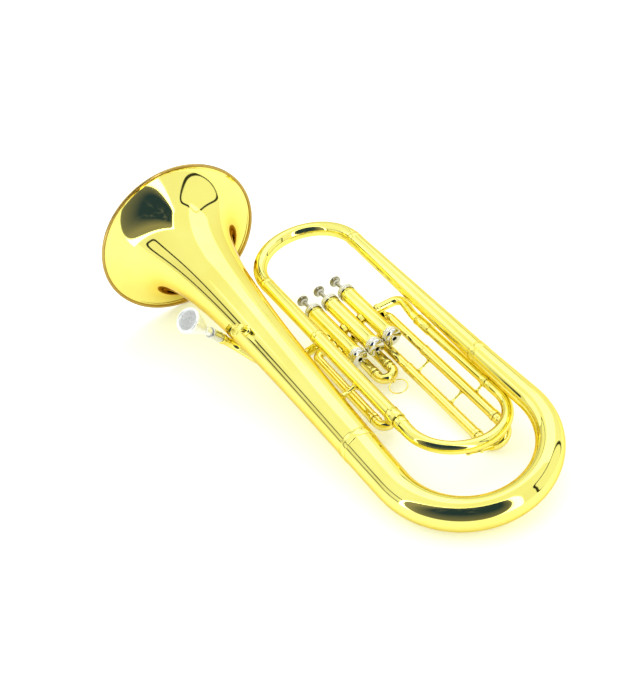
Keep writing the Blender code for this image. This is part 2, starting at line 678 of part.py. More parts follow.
def make_first_slide(frame):
    """First valve slide, beside the inner branch."""
    left, right = FIRST_SLIDE_X
    port_x = VALVE_X[0] - 0.009
    high = [
        Vector((port_x, SLIDE_PORT_HIGH_Y, VALVE_Z)), Vector((left, SLIDE_PORT_HIGH_Y, FIRST_SLIDE_Z)),
        Vector((left, FIRST_SLEEVE_END, FIRST_SLIDE_Z))]
    seated_sleeve("first_slide_sleeve_a", high, [0.010], FIRST_SLEEVE_TOP, 1, frame)
    low = [
        Vector((port_x, SLIDE_PORT_LOW_Y, VALVE_Z)), Vector((right, SLIDE_PORT_LOW_Y, FIRST_SLIDE_Z)),
        Vector((right, FIRST_SLEEVE_END, FIRST_SLIDE_Z))]
    seated_sleeve("first_slide_sleeve_b", low, [0.0075], FIRST_SLEEVE_TOP, 1, frame)
    slide_crook(
        "first_valve_slide", Vector((left, 0.0, FIRST_SLIDE_Z)), Vector((right, 0.0, FIRST_SLIDE_Z)),
        FIRST_SLEEVE_TOP - 0.010, FIRST_SLEEVE_END, FIRST_SLEEVE_END - 0.008, frame)


def make_second_slide(frame):
    """Second valve slide, a short crook behind the first two casings."""
    left, right = SECOND_SLIDE_X
    z = SECOND_SLIDE_Z
    seat = Vector((VALVE_X[1], 0.0, VALVE_Z))
    slanted = port_directions(2)[2][1]
    high = [
        seat + slanted * 0.009 + Y_AXIS * SLIDE_PORT_HIGH_Y,
        Vector((left, SLIDE_PORT_HIGH_Y, z)), Vector((left, SECOND_SLEEVE_END, z))]
    seated_sleeve("second_slide_sleeve_a", high, [0.0085], SECOND_SLEEVE_TOP, 2, frame)
    low = [
        seat - Z_AXIS * 0.009 + Y_AXIS * SLIDE_PORT_LOW_Y,
        Vector((right, SLIDE_PORT_LOW_Y, z)), Vector((right, SECOND_SLEEVE_END, z))]
    seated_sleeve("second_slide_sleeve_b", low, [0.0070], SECOND_SLEEVE_TOP - 0.001, 2, frame)
    bow_y = SECOND_SLEEVE_END - 0.008
    slide_crook(
        "second_valve_slide", Vector((left, 0.0, z)), Vector((right, 0.0, z)),
        SECOND_SLEEVE_TOP - 0.006, SECOND_SLEEVE_END, bow_y, frame)
    make_pull_ring(Vector(((left + right) / 2, bow_y - (right - left) / 2 - SLIDE_BOW_RADIUS, z)), frame)


def make_pull_ring(crook_bottom, frame):
    """Wire pull ring hung in a small eyelet under the second slide's bow."""
    eye = crook_bottom - Y_AXIS * 0.0029
    outline = [(0.0017, -0.0010), (0.0033, -0.0010), (0.0033, 0.0010), (0.0017, 0.0010)]
    eyelet = turned_ring("guide_eyelet", outline, 12, "brass", frame, eye, X_AXIS)
    join_solid(bpy.data.objects["second_valve_slide"], eyelet)
    mesh_data = bmesh.new()
    profile = []
    for k in range(6):
        angle = math.tau * k / 6
        across = PULL_RING_RADIUS + PULL_RING_WIRE * math.cos(angle)
        profile.append((across, PULL_RING_WIRE * math.sin(angle)))
    spin_profile(mesh_data, profile, 20)
    bmesh.ops.translate(mesh_data, vec=(0.0, -PULL_RING_RADIUS, 0.0), verts=mesh_data.verts)
    finish_piece("second_slide_pull_ring", mesh_data, "brass", frame, eye)


def make_third_slide(frame):
    """Third valve slide: the long pair of tubes that pass under the tuning slide."""
    a = THIRD_SLIDE_A
    b = THIRD_SLIDE_B
    seat = Vector((VALVE_X[2], 0.0, VALVE_Z))
    high = [
        seat + X_AXIS * 0.009 + Y_AXIS * SLIDE_PORT_HIGH_Y, a + Y_AXIS * SLIDE_PORT_HIGH_Y,
        a + Y_AXIS * THIRD_SLEEVE_END]
    seated_sleeve("third_slide_sleeve_a", high, [0.0072], THIRD_SLEEVE_TOP, 3, frame)
    low = [
        seat - Z_AXIS * 0.009 + Y_AXIS * SLIDE_PORT_LOW_Y, b + Y_AXIS * SLIDE_PORT_LOW_Y,
        b + Y_AXIS * THIRD_SLEEVE_END]
    seated_sleeve("third_slide_sleeve_b", low, [0.0070], THIRD_SLEEVE_TOP, 3, frame)
    slide_crook(
        "third_valve_slide", a, b, THIRD_SLEEVE_TOP - 0.010, THIRD_SLEEVE_END,
        THIRD_SLEEVE_END - 0.014, frame)


def make_braces(frame):
    """Struts that tie neighbouring tubes together."""
    a = THIRD_SLIDE_A
    b = THIRD_SLIDE_B
    across = (b - a).normalized()
    reach = SLIDE_SLEEVE_RADIUS + 0.0005
    for name, height in (("third_slide_brace_lower", 0.012), ("third_slide_brace_upper", 0.088)):
        start = a + across * reach + Y_AXIS * height
        end = b - across * reach + Y_AXIS * height
        waisted_brace(name, start, end, 0.0030, 0.0013, frame)
    sleeve = Vector((TUNING_RIGHT_X, 0.0, TUNING_RIGHT_Z))
    across = (sleeve - a).normalized()
    start = a + across * reach - Y_AXIS * 0.006
    end = sleeve - across * (RIGHT_SLEEVE_RADIUS + 0.0005) - Y_AXIS * 0.006
    waisted_brace("third_slide_stay", start, end, 0.0030, 0.0013, frame)
    height = 0.078
    start, outward = bell_point(height, math.radians(4), 0.0006)
    branch = Vector((INNER_BRANCH_X - LEFT_SLEEVE_RADIUS - 0.0006, height, INNER_BRANCH_Z))
    waisted_brace("bell_branch_brace", start, branch, 0.0062, 0.0024, frame)


# ---------------------------------------------------------------- leadpipe and mouthpiece


def make_receiver(frame):
    """Mouthpiece receiver with a raised collar at its mouth."""
    bore = 0.0063
    outline = [
        (bore, 0.0), (0.0076, 0.0), (0.0082, 0.0008), (0.0082, 0.0034), (0.0076, 0.0042),
        (RECEIVER_RADIUS, 0.0046), (RECEIVER_RADIUS, RECEIVER_LENGTH), (bore, RECEIVER_LENGTH)]
    turned_ring("mouthpiece_receiver", outline, 16, "nickel", frame, RECEIVER_MOUTH, -MOUTHPIECE_AXIS)


def leadpipe_corners():
    """Corners of the leadpipe's route from the receiver, under the bell, to the first casing."""
    start = RECEIVER_MOUTH - MOUTHPIECE_AXIS * (RECEIVER_LENGTH + 0.0005)
    return [
        start, start - MOUTHPIECE_AXIS * 0.030, Vector((-0.0140, 0.2460, -0.0310)),
        Vector((0.0220, LINE_PORT_Y, -0.0260)), Vector((VALVE_X[0] - 0.009, LINE_PORT_Y, VALVE_Z))]


def make_leadpipe(frame):
    """Leadpipe with the clamp near the receiver and the strut to the bell."""
    path = bent_path(leadpipe_corners(), [0.022, 0.050, 0.036], 3)
    pipe = hollow_tube("leadpipe", path, LEADPIPE_RADIUS, SLIDE_WALL, 12, "brass", frame)
    cut_away(pipe, bpy.data.objects["guide_casing_1"])
    along = (path[1] - path[0]).normalized()
    ferrule(
        "leadpipe_ferrule", path[0] + along * 0.0045, along, LEADPIPE_RADIUS, 0.007, "brass", frame, 16)
    corners = leadpipe_corners()
    pipe_point = corners[1].lerp(corners[2], 0.55)
    height = pipe_point.dot(BELL_AXIS)
    outward = (pipe_point - BELL_AXIS * height).normalized()
    skin = BELL_AXIS * height + outward * (bell_radius(height) + 0.0010)
    end = pipe_point - outward * (LEADPIPE_RADIUS + 0.0006)
    waisted_brace("bell_leadpipe_brace", skin, end, 0.0034, 0.0016, frame)


def make_lyre_holder(frame):
    """Lyre post on the bell, with a socket through it and an eye-headed thumbscrew."""
    base, outward = bell_point(LYRE_HEIGHT, LYRE_ANGLE, 0.0006)
    around = BELL_AXIS.cross(outward)
    if around.x > 0:
        around = -around
    screw_axis = (around * math.cos(LYRE_SCREW_TURN) + BELL_AXIS * math.sin(LYRE_SCREW_TURN)).normalized()
    post = [
        (0.0, 0.0), (0.0058, 0.0), (0.0058, 0.0012), (0.0046, 0.0024), (0.0046, 0.0108),
        (0.0052, 0.0112), (0.0052, 0.0130), (0.0044, 0.0138), (0.0, 0.0138)]
    holder = turned_solid("lyre_holder", post, 24, "brass", frame, base, outward)
    centre = base + outward * 0.0072
    socket = box_guide("guide_lyre_socket", centre, (0.0046, 0.0200, 0.0058), frame)
    socket.rotation_mode = "QUATERNION"
    basis = Matrix((screw_axis, outward.cross(screw_axis), outward)).transposed()
    socket.rotation_quaternion = basis.to_quaternion()
    cut_away(holder, socket)
    hole = cylinder_guide("guide_lyre_screw", centre + screw_axis * 0.004, screw_axis, 0.0017, 0.006, frame, 12)
    cut_away(holder, hole)
    shank = [
        (0.0, -0.0012), (0.0013, -0.0012), (0.0013, 0.0060), (0.0023, 0.0064), (0.0023, 0.0082),
        (0.0014, 0.0088), (0.0, 0.0092)]
    screw = turned_solid("lyre_thumbscrew", shank, 14, "brass", frame, centre, screw_axis)
    profile = []
    for k in range(6):
        angle = math.tau * k / 6
        profile.append((LYRE_EYE_RADIUS + LYRE_EYE_WIRE * math.cos(angle), LYRE_EYE_WIRE * math.sin(angle)))
    eye_at = centre + screw_axis * (0.0088 + LYRE_EYE_RADIUS)
    eye = turned_ring("guide_lyre_eye", profile, 24, "brass", frame, eye_at, outward)
    join_solid(screw, eye)


def make_mouthpiece(frame):
    """Cup mouthpiece seated in the receiver."""
    outline = [
        (0.0042, 0.0), (0.0050, 0.0), (0.0058, 0.0260), (0.0066, 0.0400), (0.0084, 0.0470),
        (0.0126, 0.0560), (0.0160, 0.0660), (0.0184, 0.0740), (0.0187, 0.0770), (0.0170, 0.0790),
        (0.0144, 0.0786), (0.0127, 0.0740), (0.0114, 0.0640), (0.0082, 0.0550), (0.0032, 0.0460),
        (0.0032, 0.0380)]
    base = RECEIVER_MOUTH - MOUTHPIECE_AXIS * MOUTHPIECE_INSERTED
    turned_ring("mouthpiece", outline, 20, "silver", frame, base, MOUTHPIECE_AXIS)


# ---------------------------------------------------------------- water key


def tuning_bow_point(angle):
    """Centre and radius of the tuning bow, by angle from its inner-branch end."""
    left = Vector((INNER_BRANCH_X, TUNING_BOW_Y, INNER_BRANCH_Z))
    right = Vector((TUNING_RIGHT_X, TUNING_BOW_Y, TUNING_RIGHT_Z))
    depth = Vector((0.0, -TUNING_BOW_DEPTH, 0.0))
    middle = (left + right) / 2
    centre = middle + (left - middle) * math.cos(angle) + depth * math.sin(angle)
    share = angle / math.pi
    radius = TUNING_BOW_LEFT_RADIUS + (TUNING_BOW_RIGHT_RADIUS - TUNING_BOW_LEFT_RADIUS) * share
    return centre, radius


def small_box(name, centre, size, turn, frame):
    """A plain block turned to a given rotation."""
    mesh_data = bmesh.new()
    bmesh.ops.create_cube(mesh_data, size=1.0, matrix=Matrix.Diagonal((*size, 1.0)))
    block = finish_piece(name, mesh_data, "brass", frame, centre)
    block.rotation_mode = "QUATERNION"
    block.rotation_quaternion = turn
    return block


def make_water_key(frame):
    """Water key on the underside of the tuning slide's bow."""
    down = -Z_AXIS
    spout_at, spout_radius = tuning_bow_point(WATER_SPOUT_ANGLE)
    saddle_at, saddle_radius = tuning_bow_point(WATER_PIVOT_ANGLE)
    pivot = saddle_at + down * (saddle_radius + 0.0048)
    along = (pivot - (spout_at + down * (spout_radius + 0.0048))).normalized()
    side = down.cross(along).normalized()
    turn = Matrix((along, side, along.cross(side))).transposed().to_quaternion()

    plate = saddle_at + down * (saddle_radius + 0.0010)
    saddle = small_box("water_key_saddle", plate, (0.0070, 0.0090, 0.0012), turn, frame)
    for index, sign in enumerate((-1, 1)):
        ear_at = saddle_at + down * (saddle_radius + 0.0037) + side * (0.0035 * sign)
        join_solid(saddle, small_box(f"guide_ear_{index}", ear_at, (0.0040, 0.0010, 0.0050), turn, frame))
    join_solid(saddle, cylinder_guide("guide_pin", pivot, side, 0.0007, 0.0065, frame, 10))

    spout = [(0.0014, 0.0), (0.0026, 0.0), (0.0026, 0.0022), (0.0018, 0.0026), (0.0014, 0.0026)]
    nipple = turned_ring(
        "guide_nipple", spout, 14, "brass", frame, spout_at + down * (spout_radius - 0.0004), down)
    join_solid(bpy.data.objects["main_tuning_slide"], nipple)

    bar_at = pivot + down * 0.0014 + along * 0.0010
    lever = small_box("water_key_lever", bar_at, (0.0320, 0.0036, 0.0012), turn, frame)
    join_solid(lever, cylinder_guide("guide_barrel", pivot, side, 0.0016, 0.0050, frame, 14))
    pad_at = spout_at + down * (spout_radius + 0.0046)
    join_solid(lever, cylinder_guide("guide_pad", pad_at, down, 0.0034, 0.0040, frame, 14))
    cut_away(lever, cylinder_guide("guide_bore", pivot, side, 0.0010, 0.0080, frame, 12))


def join_solid(piece, addition):
    """Add a hidden guide object to a piece."""
    addition.hide_render = True
    addition.display_type = "WIRE"
    modifier = piece.modifiers.new("join_" + addition.name, "BOOLEAN")
    modifier.operation = "UNION"
    modifier.solver = "EXACT"
    modifier.object = addition


def build():
    """Make every piece of the horn."""
    clear_scene()
    frame = make_rest_frame()
    make_bell(frame)
    make_bottom_bow(frame)
    make_top_loop(frame)
    make_tuning_sleeves(frame)
    make_tuning_slide(frame)
    for number in (1, 2, 3):
        make_casing(number, frame)
        make_caps(number, frame)
        make_piston(number, frame)
        make_valve_guide(number, frame)
        make_finger_button(number, frame)
        make_valve_spring(number, frame)
    make_crossover(1, frame)
    make_crossover(2, frame)
    make_outlet(frame)
    make_first_slide(frame)
    make_second_slide(frame)
    make_third_slide(frame)
    make_braces(frame)
    make_receiver(frame)
    make_leadpipe(frame)
    make_lyre_holder(frame)
    make_mouthpiece(frame)
    make_water_key(frame)


build()
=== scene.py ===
"""Looks for the baritone horn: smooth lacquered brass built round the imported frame.

Everything is made in the horn's own flat frame, in metres (X from the bell branch to the
outer branch, Y from the bottom bow to the bell mouth, Z towards the player), and HORN then
tips it to the way the horn lies.
"""
import math

import bmesh
import bpy
from mathutils import Matrix, Quaternion, Vector


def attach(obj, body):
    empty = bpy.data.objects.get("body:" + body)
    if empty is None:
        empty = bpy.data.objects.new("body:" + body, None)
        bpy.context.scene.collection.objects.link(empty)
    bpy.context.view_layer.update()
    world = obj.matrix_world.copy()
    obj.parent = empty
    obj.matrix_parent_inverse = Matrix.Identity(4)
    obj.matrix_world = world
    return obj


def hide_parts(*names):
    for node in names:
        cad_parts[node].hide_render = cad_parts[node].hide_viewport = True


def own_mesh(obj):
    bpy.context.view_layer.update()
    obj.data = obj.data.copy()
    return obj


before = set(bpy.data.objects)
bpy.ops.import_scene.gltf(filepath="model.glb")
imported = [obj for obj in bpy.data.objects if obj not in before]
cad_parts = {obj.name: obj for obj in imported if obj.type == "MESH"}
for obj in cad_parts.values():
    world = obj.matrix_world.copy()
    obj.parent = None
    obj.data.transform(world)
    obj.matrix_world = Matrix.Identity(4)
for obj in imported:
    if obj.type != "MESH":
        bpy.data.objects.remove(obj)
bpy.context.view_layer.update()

X_AXIS = Vector((1.0, 0.0, 0.0))
Y_AXIS = Vector((0.0, 1.0, 0.0))
Z_AXIS = Vector((0.0, 0.0, 1.0))
DOWN = -Z_AXIS
ROLL = Quaternion(Y_AXIS, math.radians(-8.575))
PITCH = Quaternion(X_AXIS, math.radians(6.311))
HORN = Matrix.Translation((-0.03961, -0.15694, 0.03696)) @ (ROLL @ PITCH).to_matrix().to_4x4()

BELL_TILT = math.radians(3.5)
BELL_AXIS = Vector((0.0, math.cos(BELL_TILT), math.sin(BELL_TILT)))
BELL_LENGTH = 0.5115
BELL_REACH = 0.5325
BELL_THROAT = 0.0246
BELL_RIM = 0.1236

SPACING = 0.2014
OUTER_JOINT_RADIUS = 0.0141
OUTER_JOINT_Y = 0.0234
OUTER_X = 0.205
INNER_X = 0.0565
INNER_Z = 0.010
INNER_RADIUS = 0.0097
INNER_JOINT_Y = 0.190
BRANCH_TOP_RADIUS = 0.0108
TOP_BOW_Y = 0.336
TOP_BOW_END_RADIUS = 0.0100

TUNING_X = 0.187
TUNING_Z = -0.0185
TUNING_BOW_Y = -0.034
TUNING_BOW_DEPTH = 0.0625
TUNING_RADII = (0.0089, 0.0073)
TUNING_SLEEVE_RADIUS = 0.0069
FERRULE_Y = 0.1335
SPOUT_ANGLE = math.radians(70)
PIVOT_ANGLE = math.radians(84)
PIVOT_DROP = 0.0048

VALVE_X = (0.089, 0.117, 0.145)
VALVE_Z = -0.024
LINE_Y = 0.212
HIGH_PORT_Y = 0.1955
LOW_PORT_Y = 0.1795
CASING_BOTTOM = 0.151
CASING_TOP = 0.275
CASING_WALL = 0.0112
BUTTON_FOOT = 0.2713

PORT_RADIUS = 0.0064
SLEEVE_RADIUS = 0.0072
SLIDE_RADIUS = 0.0070
LEG_RADIUS = 0.0060

MOUTH = Vector((-0.0570, 0.2890, 0.0300))
MOUTHPIECE_AXIS = Vector((-0.45, -0.14, 0.882)).normalized()
RECEIVER_LENGTH = 0.0240

LYRE_HEIGHT = 0.2428
LYRE_ANGLE = math.radians(125)
LYRE_SCREW_TURN = math.radians(42)
LYRE_EYE_RADIUS = 0.0066


# ---------------------------------------------------------------- materials


def new_material(name):
    """A node material, its tree and its shader."""
    material = bpy.data.materials.new(name)
    material.use_nodes = True
    return material, material.node_tree, material.node_tree.nodes["Principled BSDF"]


def put(tree, made, **inputs):
    """Set a node's inputs by name: each is a value or another node's output."""
    for name, value in inputs.items():
        socket = made.inputs[name.replace("_", " ")]
        if isinstance(value, bpy.types.NodeSocket):
            tree.links.new(value, socket)
        else:
            socket.default_value = value
    return made


def node(tree, kind, **inputs):
    """Add a shader node with its inputs."""
    return put(tree, tree.nodes.new(kind), **inputs)


def noise(tree, place, **inputs):
    """Noise over a place, as a number."""
    return node(tree, "ShaderNodeTexNoise", Vector=place, **inputs).outputs["Fac"]


def ranged(tree, source, low, high, start=0.35, end=0.65):
    """Remap a node's output to low..high."""
    return node(
        tree, "ShaderNodeMapRange", Value=source, From_Min=start, From_Max=end, To_Min=low,
        To_Max=high).outputs["Result"]


def mixed(tree, first, second, amount):
    """Colour between two colours, by an amount."""
    blend = tree.nodes.new("ShaderNodeMix")
    blend.data_type = "RGBA"
    return put(tree, blend, A=first, B=second, Factor=amount).outputs["Result"]


def two_tone(tree, first, second, drift):
    """Colour that drifts from the first to the second."""
    return mixed(tree, (*first, 1.0), (*second, 1.0), ranged(tree, drift, 0.0, 1.0))


def metal(name, bright, aged, polish, coat=0.0, edge=(1.0, 1.0, 1.0), metallic=1.0):
    """Polished plate or lacquered metal: faint colour drift, handling haze and fine scratches."""
    material, tree, shader = new_material(name)
    place = tree.nodes.new("ShaderNodeTexCoord").outputs["Object"]
    drift = noise(tree, place, Scale=9.0, Detail=4.0, Roughness=0.55)
    haze = noise(tree, place, Scale=38.0, Detail=6.0, Roughness=0.7)
    stretch = node(tree, "ShaderNodeMapping", Vector=place, Scale=(900.0, 60.0, 900.0))
    scratch = node(
        tree, "ShaderNodeBump", Height=noise(tree, stretch.outputs["Vector"], Scale=1.0, Detail=2.0),
        Strength=0.010, Distance=0.0002)
    swell = node(
        tree, "ShaderNodeBump", Height=noise(tree, place, Scale=22.0, Detail=1.0), Strength=0.02,
        Distance=0.002, Normal=scratch.outputs["Normal"])
    put(tree, shader, Base_Color=two_tone(tree, bright, aged, drift),
        Roughness=ranged(tree, haze, polish, polish * 1.9), Normal=swell.outputs["Normal"],
        Metallic=metallic, Specular_Tint=(*edge, 1.0), Coat_Weight=coat, Coat_Roughness=0.03)
    return material


def satin_bore():
    """Inside of the bell: lacquered at the flare, turning to raw satin brass down the bore."""
    material = metal("bell_bore", (0.93, 0.80, 0.24), (0.86, 0.70, 0.17), 0.04, metallic=0.86)
    tree = material.node_tree
    shader = tree.nodes["Principled BSDF"]
    haze = shader.inputs["Roughness"].links[0].from_socket
    place = tree.nodes.new("ShaderNodeTexCoord").outputs["Object"]
    depth = node(tree, "ShaderNodeSeparateXYZ", Vector=place).outputs["Y"]
    total = tree.nodes.new("ShaderNodeMath")
    tree.links.new(haze, total.inputs[0])
    tree.links.new(ranged(tree, depth, 0.50, 0.0, 0.12, 0.30), total.inputs[1])
    put(tree, shader, Roughness=total.outputs[0])
    return material


def soft_stuff(name, light, dark, scale, roughness, sheen):
    """Felt or cork: speckled colour with a raised, fibrous surface."""
    material, tree, shader = new_material(name)
    place = tree.nodes.new("ShaderNodeTexCoord").outputs["Object"]
    speck = noise(tree, place, Scale=scale, Detail=6.0, Roughness=0.7)
    bump = node(tree, "ShaderNodeBump", Height=speck, Strength=0.6, Distance=0.0003)
    put(tree, shader, Base_Color=two_tone(tree, light, dark, speck), Normal=bump.outputs["Normal"],
        Roughness=roughness, Sheen_Weight=sheen)
    return material


BRASS = metal(
    "lacquered_brass", (0.95, 0.87, 0.25), (0.92, 0.81, 0.19), 0.032, coat=0.2, edge=(0.80, 0.58, 0.24))
BRASS_SLIDE = metal(
    "slide_brass", (0.94, 0.84, 0.27), (0.90, 0.76, 0.19), 0.042, coat=0.15, edge=(0.74, 0.52, 0.20))
NICKEL = metal("nickel_plate", (0.74, 0.73, 0.68), (0.66, 0.64, 0.58), 0.05)
SILVER = metal("silver_plate", (0.98, 0.98, 0.98), (0.94, 0.94, 0.95), 0.22, metallic=0.55)
BORE = satin_bore()
# Rim bead brass: darker and more orange all over, painted shade and painted dark reflection for the crease
# of the rolled rim.
RIM_BRASS_PAINTED_SHADE = metal("rim_brass_painted_shade", (0.56, 0.38, 0.11), (0.42, 0.27, 0.07), 0.12, coat=0.1, edge=(0.4, 0.25, 0.1))
# Finger button nickel: darkened all over, a painted dark reflection on the button domes.
NICKEL_PAINTED_REFLECTION = metal("nickel_painted_dark_reflection", (0.52, 0.49, 0.40), (0.34, 0.31, 0.24), 0.05)
PISTON = metal("lapped_piston", (0.72, 0.71, 0.68), (0.62, 0.61, 0.58), 0.22)
STEEL = metal("spring_wire", (0.60, 0.61, 0.63), (0.50, 0.51, 0.53), 0.25)
FELT = soft_stuff("felt", (0.86, 0.84, 0.76), (0.70, 0.67, 0.58), 900.0, 0.95, 0.6)
CORK = soft_stuff("cork", (0.62, 0.42, 0.24), (0.36, 0.21, 0.10), 420.0, 0.85, 0.0)


# ---------------------------------------------------------------- mesh building


class Shape:
    """Collects vertices and faces in the horn's frame, then becomes one piece."""

    def __init__(self):
        self.verts = []
        self.faces = []

    def ring(self, points):
        start = len(self.verts)
        self.verts += [tuple(p) for p in points]
        return list(range(start, start + len(points)))

    def bridge(self, first, second):
        count = len(first)
        for k in range(count):
            n = (k + 1) % count
            self.faces.append((first[k], first[n], second[n], second[k]))

    def fan(self, ring, centre):
        tip = self.ring([centre])[0]
        for k, v in enumerate(ring):
            self.faces.append((v, ring[(k + 1) % len(ring)], tip))

    def lathe(self, outline, centre, direction, sides=64, closed=True, knurl=None):
        """Turn an outline of (radius, height). knurl is (first, last, depth, teeth)."""
        direction = direction.normalized()
        side = direction.orthogonal().normalized()
        up = direction.cross(side)
        if knurl:
            sides = knurl[3] * 4
        rings = []
        for i, (radius, height) in enumerate(outline):
            foot = centre + direction * height
            if radius == 0.0:
                rings.append(foot)
                continue
            points = []
            for k in range(sides):
                angle = math.tau * k / sides
                reach = radius
                if knurl and knurl[0] <= i <= knurl[1] and k % 4 in (0, 1):
                    reach -= knurl[2]
                points.append(foot + (side * math.cos(angle) + up * math.sin(angle)) * reach)
            rings.append(self.ring(points))
        pairs = list(zip(rings, rings[1:]))
        if closed:
            pairs.append((rings[-1], rings[0]))
        for first, second in pairs:
            if isinstance(first, Vector):
                self.fan(second, first)
            elif isinstance(second, Vector):
                self.fan(first, second)
            else:
                self.bridge(first, second)
        return self

    def swept(self, path, radii, sides):
        """Rings square to a path, carried along it without twisting."""
        tangents = []
        for i, point in enumerate(path):
            into = (point - path[max(i - 1, 0)]).normalized()
            out = (path[min(i + 1, len(path) - 1)] - point).normalized()
            tangents.append((into + out).normalized())
        side = tangents[0].orthogonal().normalized()
        rings = []
        for i, (point, tangent, radius) in enumerate(zip(path, tangents, radii)):
            if i:
                side = tangents[i - 1].rotation_difference(tangent) @ side
            up = tangent.cross(side)
            turns = [math.tau * k / sides for k in range(sides)]
            rings.append(self.ring(
                [point + (side * math.cos(a) + up * math.sin(a)) * radius for a in turns]))
        return rings

    def pipe(self, path, radius, wall=0.0008, sides=32):
        """Open-ended tube of even wall along a path."""
        radii = radius if isinstance(radius, list) else [radius] * len(path)
        outer = self.swept(path, radii, sides)
        inner = self.swept(path, [r - wall for r in radii], sides)
        for i in range(len(path) - 1):
            self.bridge(outer[i], outer[i + 1])
            self.bridge(inner[i + 1], inner[i])
        self.bridge(inner[0], outer[0])
        self.bridge(outer[-1], inner[-1])
        return self

    def wire(self, path, radius, sides=12):
        """Solid wire along a path."""
        rings = self.swept(path, [radius] * len(path), sides)
        for first, second in zip(rings, rings[1:]):
            self.bridge(first, second)
        self.fan(rings[0], path[0])
        self.fan(rings[-1], path[-1])
        return self

    def collar(self, centre, direction, tube, length, rise, sides=48):
        """Thin band round a tube, with eased edges."""
        half = length / 2
        ease = min(rise * 0.8, half * 0.4)
        low = tube - 0.0003
        high = tube + rise
        outline = [
            (low, -half), (tube + rise * 0.25, -half), (tube + rise * 0.75, -half + ease * 0.4),
            (high, -half + ease), (high, half - ease), (tube + rise * 0.75, half - ease * 0.4),
            (tube + rise * 0.25, half), (low, half)]
        return self.lathe(outline, centre, direction, sides)

    def torus(self, centre, direction, radius, wire, sides=48):
        """Round bead or ring about an axis."""
        outline = []
        for k in range(10):
            angle = math.tau * k / 10
            outline.append((radius + wire * math.cos(angle), wire * math.sin(angle)))
        return self.lathe(outline, centre, direction, sides)

    def done(self, name, body, material, slot, *nodes, sharp=38.0):
        """Make the object, put it in place and tie it to the frame."""
        mesh = bpy.data.meshes.new(name)
        mesh.from_pydata(self.verts, [], self.faces)
        mesh.validate()
        piece = bpy.data.objects.new(name, mesh)
        bpy.context.scene.collection.objects.link(piece)
        data = bmesh.new()
        data.from_mesh(mesh)
        bmesh.ops.recalc_face_normals(data, faces=data.faces)
        data.to_mesh(mesh)
        data.free()
        mesh.materials.append(material)
        mesh.shade_smooth()
        mesh.set_sharp_from_angle(angle=math.radians(sharp))
        mesh.transform(HORN)
        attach(piece, body)
        if nodes:
            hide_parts(*nodes)
        return piece


def soften(outline, radius, steps=3, closed=True):
    """Round the corners of an outline of (radius, height) points."""
    points = [Vector(p) for p in outline]
    count = len(points)
    made = []
    for i, corner in enumerate(points):
        if not closed and i in (0, count - 1):
            made.append(tuple(corner))
            continue
        before = points[i - 1] - corner
        after = points[(i + 1) % count] - corner
        reach = min(radius, before.length * 0.42, after.length * 0.42)
        start = corner + before.normalized() * reach
        end = corner + after.normalized() * reach
        for k in range(steps + 1):
            t = k / steps
            point = start * (1 - t) ** 2 + corner * (2 * t * (1 - t)) + end * t * t
            made.append(tuple(point))
    return made


def curve_through(outline, steps=6):
    """Smooth (radius, height) curve through the given points."""
    points = [Vector(p) for p in outline]
    padded = [points[0] * 2 - points[1]] + points + [points[-1] * 2 - points[-2]]
    made = []
    for a, b, c, d in zip(padded, padded[1:], padded[2:], padded[3:]):
        for k in range(steps):
            t = k / steps
            made.append(tuple(0.5 * (
                b * 2 + (c - a) * t + (a * 2 - b * 5 + c * 4 - d) * t * t
                + (b * 3 - a - c * 3 + d) * t ** 3)))
    made.append(tuple(points[-1]))
    return made


def bend(corners, bend_radii, steps=14):
    """Straight runs with each inner corner rounded to its bend radius."""
    path = [corners[0]]
    for before, corner, after, radius in zip(corners, corners[1:], corners[2:], bend_radii):
        into = (corner - before).normalized()
        out = (after - corner).normalized()
        angle = into.angle(out)
        start = corner - into * (radius * math.tan(angle / 2))
        centre = corner + (out - into).normalized() * (radius / math.cos(angle / 2))
        for k in range(steps + 1):
            turn = Quaternion(into.cross(out).normalized(), angle * k / steps)
            path.append(centre + turn @ (start - centre))
    path.append(corners[-1])
    return path


def half_bow(start, end, depth, steps=40):
    """Half an ellipse from start to end that bulges by depth."""
    middle = (start + end) / 2
    turns = [math.pi * k / steps for k in range(steps + 1)]
    return [middle + (start - middle) * math.cos(a) + depth * math.sin(a) for a in turns]


def tapered(path, first, last):
    """Radii that change evenly with distance along a path."""
    steps = [(b - a).length for a, b in zip(path, path[1:])]
    total = sum(steps)
    gone = [sum(steps[:i]) for i in range(len(path))]
    return [first + (last - first) * g / total for g in gone]


def at(x, y, z):
    """A point in the horn's frame."""
    return Vector((x, y, z))


def waisted_brace(name, start, end, foot, waist, node_name):
    """Turned strut with flared feet."""
    run = end - start
    length = run.length
    outline = [
        (foot, -0.0004), (foot, 0.0003), (foot * 0.72, 0.0011), (waist * 1.15, length * 0.30),
        (waist, length * 0.42), (waist, length * 0.58), (waist * 1.15, length * 0.70),
        (foot * 0.72, length - 0.0011), (foot, length - 0.0003), (foot, length + 0.0004)]
    curve = [(0.0, -0.0004)] + curve_through(outline, 4) + [(0.0, length + 0.0004)]
    shape = Shape().lathe(curve, start, run, 28, closed=False)
    shape.lathe(
        soften([(waist, -0.0009), (waist + 0.0011, -0.0009), (waist + 0.0011, 0.0009), (waist, 0.0009)],
               0.0006), start + run / 2, run, 28)
    shape.done(name, "horn", BRASS, "brass", node_name)


# ---------------------------------------------------------------- bell


def bell_radius(height):
    """Outer radius of the bell at a height along its axis."""
    return BELL_THROAT * math.sqrt(BELL_REACH / (BELL_REACH - height))


def bell_point(height, angle, stand_off):
    """A point off the bell's skin and the outward direction there."""
    across = X_AXIS * math.cos(angle) + X_AXIS.cross(BELL_AXIS) * math.sin(angle)
    return BELL_AXIS * height + across * (bell_radius(height) + stand_off), across


